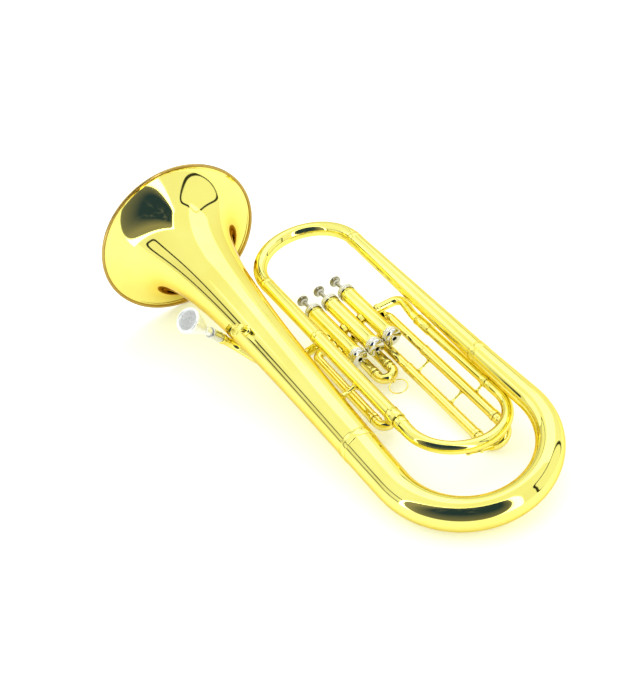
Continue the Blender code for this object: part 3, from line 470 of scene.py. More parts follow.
def make_bell():
    """Spun bell with a wired, rolled rim."""
    flare_end = BELL_LENGTH - 0.0024
    steps = 90
    heights = [flare_end * (1 - (1 - k / steps) ** 1.9) for k in range(steps + 1)]
    outer = [(bell_radius(h), h) for h in heights]
    bead_radius = 0.0023
    bead_centre = Vector((BELL_RIM - 0.0013, BELL_LENGTH - 0.0023))
    bead_edge = bead_centre.x - bead_radius * 0.866
    outer = [p for p in outer if p[0] < bead_edge - 0.0006]
    wall = 0.0009
    middle, inner = [], []
    for height in reversed(heights):
        radius = bell_radius(height)
        slope = radius / (2 * (BELL_REACH - height))
        for layer, depth in ((middle, 0.5), (inner, 1.0)):
            shift = wall * depth / math.sqrt(1 + slope * slope)
            point = (radius - shift, height + shift * slope)
            if point[0] < bead_edge - 0.0006 and point[1] < BELL_LENGTH - 0.0006:
                layer.append(point)
    middle[-1] = (BELL_THROAT - wall / 2, 0.0)
    inner[-1] = (BELL_THROAT - wall, 0.0)
    centre = tuple(bead_centre)
    Shape().lathe(outer + [centre] + middle, Vector(), BELL_AXIS, 160).done(
        "bell_skin", "horn", BRASS, "brass", "bell", sharp=60)
    Shape().lathe(middle[::-1] + [centre] + inner, Vector(), BELL_AXIS, 160).done(
        "bell_bore", "horn", BORE, "brass", sharp=60)
    # The bead's darker brass is painted shade and dark reflection along the rim.
    Shape().torus(
        BELL_AXIS * bead_centre.y, BELL_AXIS, bead_centre.x, bead_radius, 160).done(
        "bell_rim_bead", "horn", RIM_BRASS_PAINTED_SHADE, "brass")


# ---------------------------------------------------------------- main tube


def bottom_bow_path():
    """Centre line of the bottom bow."""
    slope = math.tan(BELL_TILT)
    straight = 0.081
    path = []
    for k in range(9):
        t = k / 8
        path.append(at(0.0, -straight * t, -slope * straight * (t - t * t / 2)))
    path += half_bow(path[-1], at(SPACING, -straight, 0.0), -Y_AXIS * 0.112, 72)[1:]
    path.append(at(SPACING, OUTER_JOINT_Y, 0.0))
    return path


def make_main_tube():
    """Bottom bow, outer branch, top bow and inner branch with their joint bands."""
    path = bottom_bow_path()
    radii = tapered(path, BELL_THROAT, OUTER_JOINT_RADIUS)
    Shape().pipe(path, radii, 0.001, 72).done(
        "bottom_bow_skin", "horn", BRASS, "brass", "bottom_bow")
    joint_band("bell_joint_band", Vector(), BELL_AXIS, BELL_THROAT, 0.013, "bell_joint_ferrule", 96)
    outer_low = at(SPACING, OUTER_JOINT_Y, 0.0)
    joint_band(
        "outer_joint_band", outer_low, Y_AXIS, OUTER_JOINT_RADIUS, 0.012, "outer_joint_ferrule")

    branch = [outer_low.lerp(at(OUTER_X, TOP_BOW_Y, 0.0), k / 12) for k in range(13)]
    Shape().pipe(branch, tapered(branch, OUTER_JOINT_RADIUS, BRANCH_TOP_RADIUS), 0.0008, 56).done(
        "outer_branch_skin", "horn", BRASS, "brass", "outer_branch")

    start = at(OUTER_X, TOP_BOW_Y, 0.0)
    end = at(INNER_X, TOP_BOW_Y, INNER_Z)
    lead = Y_AXIS * 0.004
    bow = [start] + half_bow(start + lead, end + lead, Y_AXIS * ((OUTER_X - INNER_X) / 2), 64) + [end]
    Shape().pipe(bow, tapered(bow, BRANCH_TOP_RADIUS, TOP_BOW_END_RADIUS), 0.0008, 48).done(
        "top_bow_skin", "horn", BRASS, "brass", "top_bow")
    joint_band("top_bow_band", start, Y_AXIS, BRANCH_TOP_RADIUS, 0.010, "top_bow_ferrule")

    joint = at(INNER_X, INNER_JOINT_Y, INNER_Z)
    shape = Shape().pipe([end, joint], [TOP_BOW_END_RADIUS, INNER_RADIUS], 0.0008, 48)
    shape.collar(end, Y_AXIS, TOP_BOW_END_RADIUS, 0.009, 0.0004)
    shape.done("inner_branch_skin", "horn", BRASS, "brass", "inner_branch")
    joint_band("inner_joint_band", joint, Y_AXIS, INNER_RADIUS, 0.009, "inner_branch_ferrule")


def joint_band(name, centre, direction, tube, length, node_name, sides=64):
    """Soldered joint band: low, with a bead at each edge."""
    shape = Shape().collar(centre, direction, tube, length, 0.00045, sides)
    for sign in (-1, 1):
        spot = centre + direction.normalized() * (sign * (length / 2 - 0.0006))
        shape.torus(spot, direction, tube + 0.0003, 0.00042, sides)
    shape.done(name, "horn", BRASS, "brass", node_name)


# ---------------------------------------------------------------- main tuning slide


def make_tuning_slide():
    """The fixed sleeves, and the sliding bow with its legs."""
    left = at(INNER_X, 0.0, INNER_Z)
    right = at(TUNING_X, 0.0, TUNING_Z)
    left_end = left - Y_AXIS * 0.010
    right_end = right - Y_AXIS * 0.012
    top = left + Y_AXIS * (INNER_JOINT_Y - 0.0003)
    shape = Shape().pipe([top, left_end], INNER_RADIUS, 0.0008, 48)
    shape.collar(left_end + Y_AXIS * 0.0090, Y_AXIS, INNER_RADIUS, 0.0180, 0.0008)
    for step in (0.0012, 0.0168):
        shape.torus(left_end + Y_AXIS * step, Y_AXIS, 0.0104, 0.0006)
    shape.done("tuning_sleeve_left_skin", "horn", BRASS, "brass", "tuning_sleeve_left")

    shape = Shape().pipe([right + Y_AXIS * FERRULE_Y, right_end], TUNING_SLEEVE_RADIUS, 0.0006, 40)
    shape.collar(right_end + Y_AXIS * 0.0060, Y_AXIS, TUNING_SLEEVE_RADIUS, 0.0120, 0.0006)
    shape.torus(right_end + Y_AXIS * 0.0010, Y_AXIS, 0.0074, 0.0005)
    shape.done("tuning_sleeve_right_skin", "horn", BRASS, "brass", "tuning_sleeve_right")

    depth = -Y_AXIS * TUNING_BOW_DEPTH
    bow = [left_end - Y_AXIS * 0.0006]
    bow += half_bow(left + Y_AXIS * TUNING_BOW_Y, right + Y_AXIS * TUNING_BOW_Y, depth, 56)
    bow.append(right_end - Y_AXIS * 0.0006)
    shape = Shape().pipe(bow, tapered(bow, *TUNING_RADII), 0.0007, 48)
    shape.pipe([left + Y_AXIS * 0.080, left_end - Y_AXIS * 0.0010], 0.0085, 0.0007, 40)
    shape.pipe([right + Y_AXIS * 0.105, right_end - Y_AXIS * 0.0010], 0.0059, 0.0007, 40)
    for end, tube, rise in ((left_end, TUNING_RADII[0], 0.0006), (right_end, TUNING_RADII[1], 0.0002)):
        shape.collar(end - Y_AXIS * 0.0060, Y_AXIS, tube, 0.0100, rise)
    spout, spout_radius = tuning_bow_point(SPOUT_ANGLE)
    nipple = [
        (0.0014, 0.0), (0.0034, 0.0), (0.0027, 0.0009), (0.0026, 0.0022), (0.0020, 0.0027),
        (0.0014, 0.0027)]
    shape.lathe(nipple, spout + DOWN * (spout_radius - 0.0005), DOWN, 24)
    shape.done("tuning_slide_skin", "tuning_slide", BRASS, "brass", "main_tuning_slide")


def tuning_bow_point(angle):
    """Centre and radius of the tuning bow, by angle from its inner-branch end."""
    left = at(INNER_X, TUNING_BOW_Y, INNER_Z)
    right = at(TUNING_X, TUNING_BOW_Y, TUNING_Z)
    middle = (left + right) / 2
    depth = -Y_AXIS * TUNING_BOW_DEPTH
    centre = middle + (left - middle) * math.cos(angle) + depth * math.sin(angle)
    first, last = TUNING_RADII
    return centre, first + (last - first) * angle / math.pi


def make_outlet():
    """Tube from the third valve round to the right tuning sleeve, with its joint bands."""
    corners = [
        at(VALVE_X[2] + CASING_WALL, LINE_Y, VALVE_Z), at(TUNING_X + 0.008, LINE_Y - 0.005, VALVE_Z + 0.001),
        at(TUNING_X, 0.160, TUNING_Z), at(TUNING_X, 0.1338, TUNING_Z)]
    path = bend(corners, [0.014, 0.040])
    shape = Shape().pipe(path, 0.0066, 0.0007, 36)
    shape.collar(corners[0] + X_AXIS * 0.0042, X_AXIS, 0.0066, 0.0050, 0.0007)
    along = (path[14] - path[13]).normalized()
    shape.collar(path[15].lerp(path[16], 0.5), along, 0.0066, 0.0016, 0.0004)
    shape.done("valve_outlet_skin", "horn", BRASS, "brass", "valve_outlet_bend")
    centre = at(TUNING_X, FERRULE_Y, TUNING_Z)
    shape = Shape().collar(centre, Y_AXIS, TUNING_SLEEVE_RADIUS, 0.030, 0.0009)
    for step in (-0.0142, 0.0142):
        shape.torus(centre + Y_AXIS * step, Y_AXIS, 0.0077, 0.0006)
    shape.done("outlet_ferrule_skin", "horn", BRASS, "brass", "outlet_ferrule")


# ---------------------------------------------------------------- valves


def make_casing(number):
    """Casing with thread collars."""
    x = VALVE_X[number - 1]
    length = CASING_TOP - CASING_BOTTOM
    outline = soften([
        (0.0102, 0.0), (0.0116, 0.0), (0.0116, 0.0105), (0.01185, 0.0110), (0.01185, 0.0135),
        (0.0116, 0.0140), (0.0116, length - 0.0135), (0.01185, length - 0.0130),
        (0.01185, length - 0.0105), (0.0116, length - 0.0100), (0.0116, length), (0.0102, length)],
        0.0002, 2)
    base = at(x, CASING_BOTTOM, VALVE_Z)
    Shape().lathe(outline, base, Y_AXIS, 64).done(
        f"valve_casing_{number}_skin", "horn", BRASS, "brass", f"valve_casing_{number}")


def make_caps(number):
    """Knurled top cap, and knurled, domed bottom cap with its vent."""
    x = VALVE_X[number - 1]
    top = [
        (0.0119, 0.0), (0.0127, 0.0), (0.0131, 0.0004), (0.0131, 0.0010), (0.0127, 0.0014),
        (0.0127, 0.0016), (0.0129, 0.0018), (0.0129, 0.0066), (0.0127, 0.0068), (0.0128, 0.0072),
        (0.0122, 0.0085), (0.0108, 0.0097), (0.0088, 0.0106), (0.0070, 0.0112), (0.0064, 0.0120),
        (0.0062, 0.0142), (0.0058, 0.0146), (0.0036, 0.0146), (0.0034, 0.0142), (0.0034, 0.0090),
        (0.0100, 0.0072), (0.0119, 0.0060)]
    cap = at(x, CASING_TOP - 0.0055, VALVE_Z)
    Shape().lathe(top, cap, Y_AXIS, knurl=(6, 7, 0.00045, 36)).done(
        f"top_cap_{number}_skin", "horn", NICKEL, "nickel", f"top_cap_{number}", sharp=50)
    bottom = [
        (0.0119, 0.0), (0.0127, 0.0), (0.0129, 0.0006), (0.0127, 0.0012), (0.0129, 0.0014),
        (0.0131, 0.0016), (0.0131, 0.0062), (0.0129, 0.0064), (0.0131, 0.0070), (0.0133, 0.0078),
        (0.0131, 0.0088), (0.0124, 0.0100), (0.0112, 0.0110), (0.0094, 0.0119), (0.0070, 0.0127),
        (0.0048, 0.0131), (0.0040, 0.0133), (0.0034, 0.0130), (0.0030, 0.0122), (0.0028, 0.0112),
        (0.0060, 0.0106), (0.0100, 0.0096), (0.0118, 0.0082)]
    cap = at(x, CASING_BOTTOM + 0.0075, VALVE_Z)
    Shape().lathe(bottom, cap, -Y_AXIS, knurl=(5, 6, 0.00045, 36)).done(
        f"bottom_cap_{number}_skin", "horn", NICKEL, "nickel", f"bottom_cap_{number}", sharp=50)


def make_button(number):
    """Finger button with a dished top, its stem and the felt under it."""
    x = VALVE_X[number - 1]
    length = 0.309 - BUTTON_FOOT
    outline = curve_through([(radius, length - below) for radius, below in (
        (0.0026, 0.0074), (0.0034, 0.0064), (0.0060, 0.0054), (0.0080, 0.0046), (0.0087, 0.0034),
        (0.0086, 0.0022), (0.0078, 0.0011), (0.0064, 0.0005), (0.0052, 0.0004))], 5)
    dish = [(0.0048, length - 0.0007), (0.0030, length - 0.0011), (0.0, length - 0.0012)]
    stem = [
        (0.0, 0.0), (0.0048, 0.0), (0.0050, 0.0003), (0.0050, 0.0012), (0.0046, 0.0016), (0.0026, 0.0022)]
    foot = at(x, BUTTON_FOOT, VALVE_Z)
    shape = Shape().lathe(stem + outline + dish, foot, Y_AXIS, 56, closed=False)
    body = f"valve_{number}"
    # The button's darker nickel is a painted dark reflection.
    shape.done(f"finger_button_{number}_skin", body, NICKEL_PAINTED_REFLECTION, "nickel", f"finger_button_{number}")
    felt = soften([(0.0027, 0.0), (0.0056, 0.0), (0.0056, 0.0017), (0.0027, 0.0017)], 0.0006)
    Shape().lathe(felt, foot + Y_AXIS * (length - 0.0085), Y_AXIS, 40).done(
        f"button_felt_{number}", body, FELT, "nickel")


def make_spring(number):
    """Round-wire spring between the key bar and the barrel's top plate."""
    wire = 0.0005
    low = 0.2439
    high = 0.2683
    count = 16 * 5
    path = []
    for k in range(count + 1):
        angle = math.tau * k / 16
        across = at(math.cos(angle), 0.0, math.sin(angle)) * 0.0055
        path.append(at(VALVE_X[number - 1], low + (high - low) * k / count, VALVE_Z) + across)
    coil = Shape().wire(path, wire, 8).done(
        f"valve_spring_{number}_coil", "horn", STEEL, "spring_steel", f"valve_spring_{number}")
    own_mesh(coil)


def make_crossover(number):
    """Knuckle between two casings, with a band in its middle."""
    first = at(VALVE_X[number - 1] + CASING_WALL, LINE_Y, VALVE_Z)
    second = at(VALVE_X[number] - CASING_WALL, LINE_Y, VALVE_Z)
    tube = 0.0069
    shape = Shape().pipe([first, second], tube, 0.001, 40)
    shape.collar(first.lerp(second, 0.5), X_AXIS, tube, 0.0032, 0.0015)
    name = f"crossover_{number}_{number + 1}"
    shape.done(name + "_skin", "horn", BRASS, "brass", name)


# ---------------------------------------------------------------- valve slides


def sleeve(name, corners, radii, step_y):
    """Port tube from a casing and the wider sleeve it leads into."""
    path = bend(corners, radii, 12)
    end = path.pop()
    step = at(end.x, step_y, end.z)
    shape = Shape().pipe(path + [step - Y_AXIS * 0.002], PORT_RADIUS, 0.0007, 32)
    shape.pipe([step, end], SLEEVE_RADIUS, 0.0007, 32)
    shape.collar(step, Y_AXIS, SLEEVE_RADIUS, 0.0040, 0.0004, 36)
    shape.collar(end + Y_AXIS * 0.0035, Y_AXIS, SLEEVE_RADIUS, 0.0066, 0.0006, 36)
    away = (corners[1] - corners[0]).normalized()
    shape.collar(corners[0] + away * 0.0040, away, PORT_RADIUS, 0.0034, 0.0007, 36)
    shape.done(name + "_skin", "horn", BRASS_SLIDE, "brass", name)


def crook(name, body, first, second, leg_top, end, bow_y, extra=None):
    """A slide: two legs, a bow and the bands where they meet."""
    depth = -Y_AXIS * ((second - first).length / 2)
    bow = half_bow(first + Y_AXIS * bow_y, second + Y_AXIS * bow_y, depth, 32)
    bow = [first + Y_AXIS * (end - 0.0006)] + bow + [second + Y_AXIS * (end - 0.0006)]
    shape = Shape().pipe(bow, SLIDE_RADIUS, 0.0007, 32)
    for leg in (first, second):
        shape.pipe([leg + Y_AXIS * leg_top, leg + Y_AXIS * (end - 0.001)], LEG_RADIUS, 0.0007, 32)
        shape.collar(leg + Y_AXIS * (end - 0.0042), Y_AXIS, SLIDE_RADIUS, 0.0060, 0.0005, 36)
    if extra:
        extra(shape)
    shape.done(name + "_skin", body, BRASS_SLIDE, "brass", name)


def make_first_slide():
    """First valve slide, between the bell and the inner branch."""
    left, right = 0.046, 0.0685
    port = VALVE_X[0] - CASING_WALL
    sleeve("first_slide_sleeve_a", [
        at(port, HIGH_PORT_Y, VALVE_Z), at(left, HIGH_PORT_Y, VALVE_Z), at(left, 0.042, VALVE_Z)],
        [0.010], 0.107)
    sleeve("first_slide_sleeve_b", [
        at(port, LOW_PORT_Y, VALVE_Z), at(right, LOW_PORT_Y, VALVE_Z), at(right, 0.042, VALVE_Z)],
        [0.0075], 0.107)
    crook(
        "first_valve_slide", "first_slide", at(left, 0.0, VALVE_Z), at(right, 0.0, VALVE_Z),
        0.097, 0.042, 0.034)


SECOND_X = (0.097, 0.119)
SECOND_Z = -0.045
SECOND_END = 0.129
SECOND_BOW_Y = 0.121
EYE = at(0.108, SECOND_BOW_Y - 0.011 - SLIDE_RADIUS - 0.0029, SECOND_Z)


def make_second_slide():
    """Second valve slide with its eyelet, and the wire pull ring."""
    left, right = SECOND_X
    slanted = Vector((-0.72, 0.0, -0.69)).normalized()
    seat = at(VALVE_X[1], 0.0, VALVE_Z)
    sleeve("second_slide_sleeve_a", [
        seat + slanted * CASING_WALL + Y_AXIS * HIGH_PORT_Y, at(left, HIGH_PORT_Y, SECOND_Z),
        at(left, SECOND_END, SECOND_Z)], [0.0085], 0.170)
    sleeve("second_slide_sleeve_b", [
        seat - Z_AXIS * CASING_WALL + Y_AXIS * LOW_PORT_Y, at(right, LOW_PORT_Y, SECOND_Z),
        at(right, SECOND_END, SECOND_Z)], [0.0070], 0.169)

    def eyelet(shape):
        shape.torus(EYE, X_AXIS, 0.0025, 0.0008, 28)
        shape.lathe(
            soften([(0.0, 0.0), (0.0030, 0.0), (0.0026, 0.0008), (0.0, 0.0008)], 0.0002, 2, False),
            EYE + Y_AXIS * 0.0031, -Y_AXIS, 20, closed=False)

    crook(
        "second_valve_slide", "second_slide", at(left, 0.0, SECOND_Z), at(right, 0.0, SECOND_Z),
        0.164, SECOND_END, SECOND_BOW_Y, eyelet)
    Shape().torus(EYE - Y_AXIS * 0.0125, Z_AXIS, 0.0125, 0.00095, 72).done(
        "pull_ring_wire", "pull_ring", BRASS_SLIDE, "brass", "second_slide_pull_ring")


THIRD_A = at(0.1660, 0.0, -0.0310)
THIRD_B = at(0.136, 0.0, -0.0435)


def make_third_slide():
    """Third valve slide: the long pair of tubes under the tuning slide."""
    seat = at(VALVE_X[2], 0.0, VALVE_Z)
    sleeve("third_slide_sleeve_a", [
        seat + X_AXIS * CASING_WALL + Y_AXIS * HIGH_PORT_Y, THIRD_A + Y_AXIS * HIGH_PORT_Y,
        THIRD_A - Y_AXIS * 0.055], [0.0072], 0.105)
    sleeve("third_slide_sleeve_b", [
        seat - Z_AXIS * CASING_WALL + Y_AXIS * LOW_PORT_Y, THIRD_B + Y_AXIS * LOW_PORT_Y,
        THIRD_B - Y_AXIS * 0.055], [0.0070], 0.105)
    crook("third_valve_slide", "third_slide", THIRD_A, THIRD_B, 0.095, -0.055, -0.069)


def make_braces():
    """Struts between neighbouring tubes."""
    across = (THIRD_B - THIRD_A).normalized()
    for name, height in (("third_slide_brace_lower", 0.012), ("third_slide_brace_upper", 0.088)):
        start = THIRD_A + across * 0.0073 + Y_AXIS * height
        end = THIRD_B - across * 0.0073 + Y_AXIS * height
        waisted_brace(name + "_skin", start, end, 0.0032, 0.0012, name)
    tube = at(TUNING_X, 0.0, TUNING_Z)
    across = (tube - THIRD_A).normalized()
    start = THIRD_A + across * 0.0073 - Y_AXIS * 0.006
    end = tube - across * 0.0070 - Y_AXIS * 0.006
    waisted_brace("third_slide_stay_skin", start, end, 0.0032, 0.0013, "third_slide_stay")
    start, _ = bell_point(0.078, math.radians(4), 0.0002)
    end = at(INNER_X - INNER_RADIUS - 0.0002, 0.078, INNER_Z)
    waisted_brace("bell_branch_brace_skin", start, end, 0.0064, 0.0023, "bell_branch_brace")


# ---------------------------------------------------------------- leadpipe and mouthpiece


def make_receiver():
    """Receiver with turned collars."""
    outline = soften([
        (0.0063, 0.0), (0.0078, 0.0), (0.0084, 0.0008), (0.0084, 0.0022), (0.0078, 0.0028),
        (0.0078, 0.0032), (0.0082, 0.0036), (0.0082, 0.0042), (0.0074, 0.0050), (0.0071, 0.0060),
        (0.0070, 0.0190), (0.0076, 0.0196), (0.0078, 0.0206), (0.0076, 0.0216), (0.0070, 0.0222),
        (0.0070, RECEIVER_LENGTH), (0.0063, RECEIVER_LENGTH)], 0.0003, 2)
    Shape().lathe(outline, MOUTH, -MOUTHPIECE_AXIS, 56).done(
        "receiver_skin", "horn", NICKEL, "nickel", "mouthpiece_receiver")


def make_leadpipe():
    """Leadpipe, its band at the receiver and the strut to the bell."""
    start = MOUTH - MOUTHPIECE_AXIS * RECEIVER_LENGTH
    corners = [
        start, start - MOUTHPIECE_AXIS * 0.0305, at(-0.0140, 0.2460, -0.0310),
        at(0.0220, LINE_Y, -0.0260), at(VALVE_X[0] - CASING_WALL, LINE_Y, VALVE_Z)]
    path = bend(corners, [0.022, 0.050, 0.036], 18)
    shape = Shape().pipe(path, PORT_RADIUS, 0.0007, 40)
    shape.collar(corners[-1] - X_AXIS * 0.0045, X_AXIS, PORT_RADIUS, 0.0040, 0.0007)
    shape.done("leadpipe_skin", "horn", BRASS, "brass", "leadpipe")
    along = (path[1] - path[0]).normalized()
    band = path[0] + along * 0.0045
    shape = Shape().collar(band, along, PORT_RADIUS, 0.0070, 0.0009, 40)
    shape.torus(band + along * 0.0030, along, 0.0071, 0.0005, 40)
    shape.done("leadpipe_band", "horn", BRASS, "brass", "leadpipe_ferrule")
    spot = corners[1].lerp(corners[2], 0.55)
    height = spot.dot(BELL_AXIS)
    outward = (spot - BELL_AXIS * height).normalized()
    skin = BELL_AXIS * height + outward * (bell_radius(height) + 0.0004)
    waisted_brace(
        "bell_leadpipe_brace_skin", skin, spot - outward * 0.0066, 0.0036, 0.0016,
        "bell_leadpipe_brace")


def make_lyre_holder():
    """Knurled crown and foot on the lyre post, and its eye-headed thumbscrew."""
    base, outward = bell_point(LYRE_HEIGHT, LYRE_ANGLE, 0.0006)
    around = BELL_AXIS.cross(outward)
    if around.x > 0:
        around = -around
    screw_axis = around * math.cos(LYRE_SCREW_TURN) + BELL_AXIS * math.sin(LYRE_SCREW_TURN)
    screw_axis.normalize()
    crown = [
        (0.0030, 0.0106), (0.0049, 0.0106), (0.0052, 0.0110), (0.0055, 0.0112), (0.0055, 0.0130),
        (0.0052, 0.0132), (0.0048, 0.0137), (0.0036, 0.0140), (0.0030, 0.0138)]
    foot = curve_through([
        (0.0040, -0.0004), (0.0066, -0.0003), (0.0064, 0.0006), (0.0058, 0.0014), (0.0050, 0.0024),
        (0.0047, 0.0032), (0.0040, 0.0032)], 4)
    shape = Shape().lathe(crown, base, outward, knurl=(3, 4, 0.0004, 20))
    shape.lathe(foot, base, outward, 48)
    shape.done("lyre_holder_trim", "horn", BRASS, "brass")
    centre = base + outward * 0.0072
    shank = soften([
        (0.0, -0.0012), (0.0013, -0.0010), (0.0013, 0.0060), (0.0024, 0.0063), (0.0024, 0.0083),
        (0.0013, 0.0087), (0.0, 0.0090)], 0.0004, 3, False)
    eye = centre + screw_axis * (0.0088 + LYRE_EYE_RADIUS)
    head = Shape().lathe(shank, centre, screw_axis, 32, closed=False)
    head.torus(eye, outward, LYRE_EYE_RADIUS, 0.0010, 56)
    head.done("thumbscrew_skin", "thumbscrew", BRASS_SLIDE, "brass", "lyre_thumbscrew")


def make_mouthpiece():
    """Silver cup mouthpiece with a rounded rim and a beaded neck."""
    outside = curve_through([
        (0.0050, 0.0), (0.0054, 0.0130), (0.0058, 0.0260), (0.0063, 0.0360), (0.0067, 0.0400),
        (0.0080, 0.0440), (0.0102, 0.0500), (0.0128, 0.0565), (0.0152, 0.0640), (0.0170, 0.0700),
        (0.0182, 0.0735), (0.0187, 0.0762), (0.0182, 0.0782), (0.0170, 0.0791), (0.0156, 0.0790),
        (0.0145, 0.0778), (0.0138, 0.0755), (0.0130, 0.0700), (0.0120, 0.0640), (0.0100, 0.0570),
        (0.0066, 0.0505), (0.0040, 0.0465), (0.0032, 0.0440), (0.0034, 0.0380), (0.0042, 0.0)], 6)
    base = MOUTH - MOUTHPIECE_AXIS * 0.026
    shape = Shape().lathe(outside, base, MOUTHPIECE_AXIS, 112)
    shape.torus(base + MOUTHPIECE_AXIS * 0.0402, MOUTHPIECE_AXIS, 0.0068, 0.0008, 64)
    shape.done("mouthpiece_skin", "mouthpiece_body", SILVER, "silver", "mouthpiece", sharp=50)


# ---------------------------------------------------------------- water key


def make_water_key():
    """Water key under the tuning bow: saddle, lever with a thumb paddle, cork and spring."""
    spout, spout_radius = tuning_bow_point(SPOUT_ANGLE)
    saddle, saddle_radius = tuning_bow_point(PIVOT_ANGLE)
    pivot = saddle + DOWN * (saddle_radius + PIVOT_DROP)
    along = (pivot - (spout + DOWN * (spout_radius + PIVOT_DROP))).normalized()
    side = DOWN.cross(along).normalized()
    up = side.cross(along).normalized()
    if up.z < 0:
        up = -up

    lever = Shape()
    thick = 0.0006
    rings = []
    for reach, rise, wide in (
            (-0.0172, 0.0, 0.0014), (-0.0160, 0.0, 0.0026), (-0.0120, -0.0001, 0.0022),
            (-0.0060, -0.0010, 0.0018), (0.0, -0.0014, 0.0018), (0.0060, -0.0016, 0.0018),
            (0.0100, -0.0017, 0.0022), (0.0140, -0.0016, 0.0032), (0.0165, -0.0013, 0.0030),
            (0.0172, -0.0010, 0.0020)):
        middle = pivot + along * reach + up * rise
        rings.append(lever.ring([
            middle + side * (wide * across) + up * (thick * high) for across, high in (
                (1.0, -1.0), (1.0, 0.6), (0.8, 1.0), (-0.8, 1.0), (-1.0, 0.6), (-1.0, -1.0))]))
    for first, second in zip(rings, rings[1:]):
        lever.bridge(first, second)
    for ring in (rings[0], rings[-1]):
        lever.faces.append(tuple(ring))
    lever.lathe(
        soften([(0.0010, -0.0024), (0.0016, -0.0024), (0.0016, 0.0024), (0.0010, 0.0024)], 0.0002, 2),
        pivot, side, 28)
    cup = spout + DOWN * (spout_radius + 0.0032)
    cup_outline = [(0.0, 0.0), (0.0034, 0.0), (0.0034, 0.0024), (0.0016, 0.0034), (0.0, 0.0034)]
    lever.lathe(soften(cup_outline, 0.0004, 3, False), cup, DOWN, 32, closed=False)
    lever.done("water_key_lever_skin", "water_key", BRASS, "brass", "water_key_lever")
    Shape().lathe(
        soften([(0.0, -0.0006), (0.0030, -0.0006), (0.0030, 0.0006), (0.0, 0.0006)], 0.0003, 2, False),
        cup - DOWN * 0.0003, DOWN, 32, closed=False).done("water_key_cork", "water_key", CORK, "brass")
    coil = []
    for k in range(49):
        angle = math.tau * k / 12
        spot = pivot + side * (-0.0021 + 0.0042 * k / 48)
        coil.append(spot + (along * math.cos(angle) + up * math.sin(angle)) * 0.00205)
    Shape().wire(coil, 0.00028, 8).done("water_key_spring", "water_key", STEEL, "spring_steel")

    holder = Shape()
    seat = saddle + DOWN * (saddle_radius - 0.0002)
    holder.lathe(
        curve_through([(0.0044, 0.0), (0.0042, 0.0008), (0.0034, 0.0014), (0.0, 0.0016)], 4),
        seat, DOWN, 32, closed=False)
    ear = [
        (0.0, -0.0005), (0.0020, -0.0005), (0.0022, -0.0003), (0.0022, 0.0003), (0.0020, 0.0005),
        (0.0, 0.0005)]
    for sign in (-1, 1):
        spot = pivot + side * (0.0034 * sign)
        holder.lathe(ear, spot, side, 24, closed=False)
        holder.wire([spot + up * 0.0002, spot + up * 0.0042], 0.0008, 12)
    holder.wire([pivot - side * 0.0042, pivot + side * 0.0042], 0.0007, 16)
    holder.done("water_key_saddle_skin", "tuning_slide", BRASS, "brass", "water_key_saddle")


# ---------------------------------------------------------------- stage, light, camera


def recolour_hidden_parts():
    """Materials for the CAD solids that stay: pistons, key bars and the lyre post."""
    finishes = {"piston": PISTON, "valve_guide": BRASS_SLIDE, "lyre_holder": BRASS}
    for name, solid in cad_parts.items():
        for start, material in finishes.items():
            if name.startswith(start):
                for entry in solid.material_slots:
                    entry.material = material


def square(name, half):
    """A flat square piece of the stage, facing up."""
    mesh = bpy.data.meshes.new(name)
    corners = [(-half, -half, 0.0), (half, -half, 0.0), (half, half, 0.0), (-half, half, 0.0)]
    mesh.from_pydata(corners, [], [(0, 1, 2, 3)])
    piece = bpy.data.objects.new(name, mesh)
    bpy.context.scene.collection.objects.link(piece)
    return piece


def make_floor():
    """Plain pale floor, lifted a little by its own glow, as in an overexposed photograph."""
    floor = square("studio_floor", 6.0)
    material, tree, shader = new_material("studio_floor")
    put(tree, shader, Base_Color=(0.97, 0.97, 0.96, 1.0), Roughness=0.9, Specular_IOR_Level=0.1,
        Emission_Color=(0.94, 1.0, 0.88, 1.0), Emission_Strength=0.26)
    floor.data.materials.append(material)


class Painter:
    """Paints rounded panes and seams over a plane of two coordinates, in shader nodes."""

    def __init__(self, tree, across, along, turns=False):
        self.tree = tree
        self.across = across
        self.along = along
        self.turns = turns
        self.colour = None

    def maths(self, operation, first, second=None, third=None):
        """One maths node; each value is a number or another node's output."""
        step = self.tree.nodes.new("ShaderNodeMath")
        step.operation = operation
        for index, value in enumerate((first, second, third)):
            if value is None:
                continue
            if isinstance(value, (int, float)):
                step.inputs[index].default_value = value
            else:
                self.tree.links.new(value, step.inputs[index])
        return step.outputs[0]

    def pane(self, middle, half, height, tall, soft):
        """1 inside a rounded rectangle, 0 outside, with a soft edge."""
        aside = self.maths("SUBTRACT", self.across, middle)
        if self.turns:
            aside = self.maths("WRAP", aside, 180.0, -180.0)
        wide = self.maths("POWER", self.maths("DIVIDE", self.maths("ABSOLUTE", aside), half), 5.0)
        rise = self.maths("ABSOLUTE", self.maths("SUBTRACT", self.along, height))
        high = self.maths("POWER", self.maths("DIVIDE", rise, tall), 5.0)
        reach = self.maths("POWER", self.maths("ADD", wide, high), 0.2)
        inside = self.maths("DIVIDE", self.maths("SUBTRACT", 1.0, reach), soft)
        return self.maths("MINIMUM", self.maths("MAXIMUM", inside, 0.0), 1.0)

    def seam(self, middle, half, height, tall, line):
        """Thin line along a rounded rectangle's edge."""
        outer = self.pane(middle, half, height, tall, 0.03)
        inner = self.pane(middle, half - line, height, tall - line, 0.03)
        return self.maths("SUBTRACT", outer, inner)

    def lay(self, colour, amount=None):
        """Lay a colour over what is there by an amount, or all over."""
        paint = (*colour, 1.0)
        if amount is None:
            self.colour = mixed(self.tree, paint, paint, 0.5)
        else:
            self.colour = mixed(self.tree, self.colour, paint, amount)


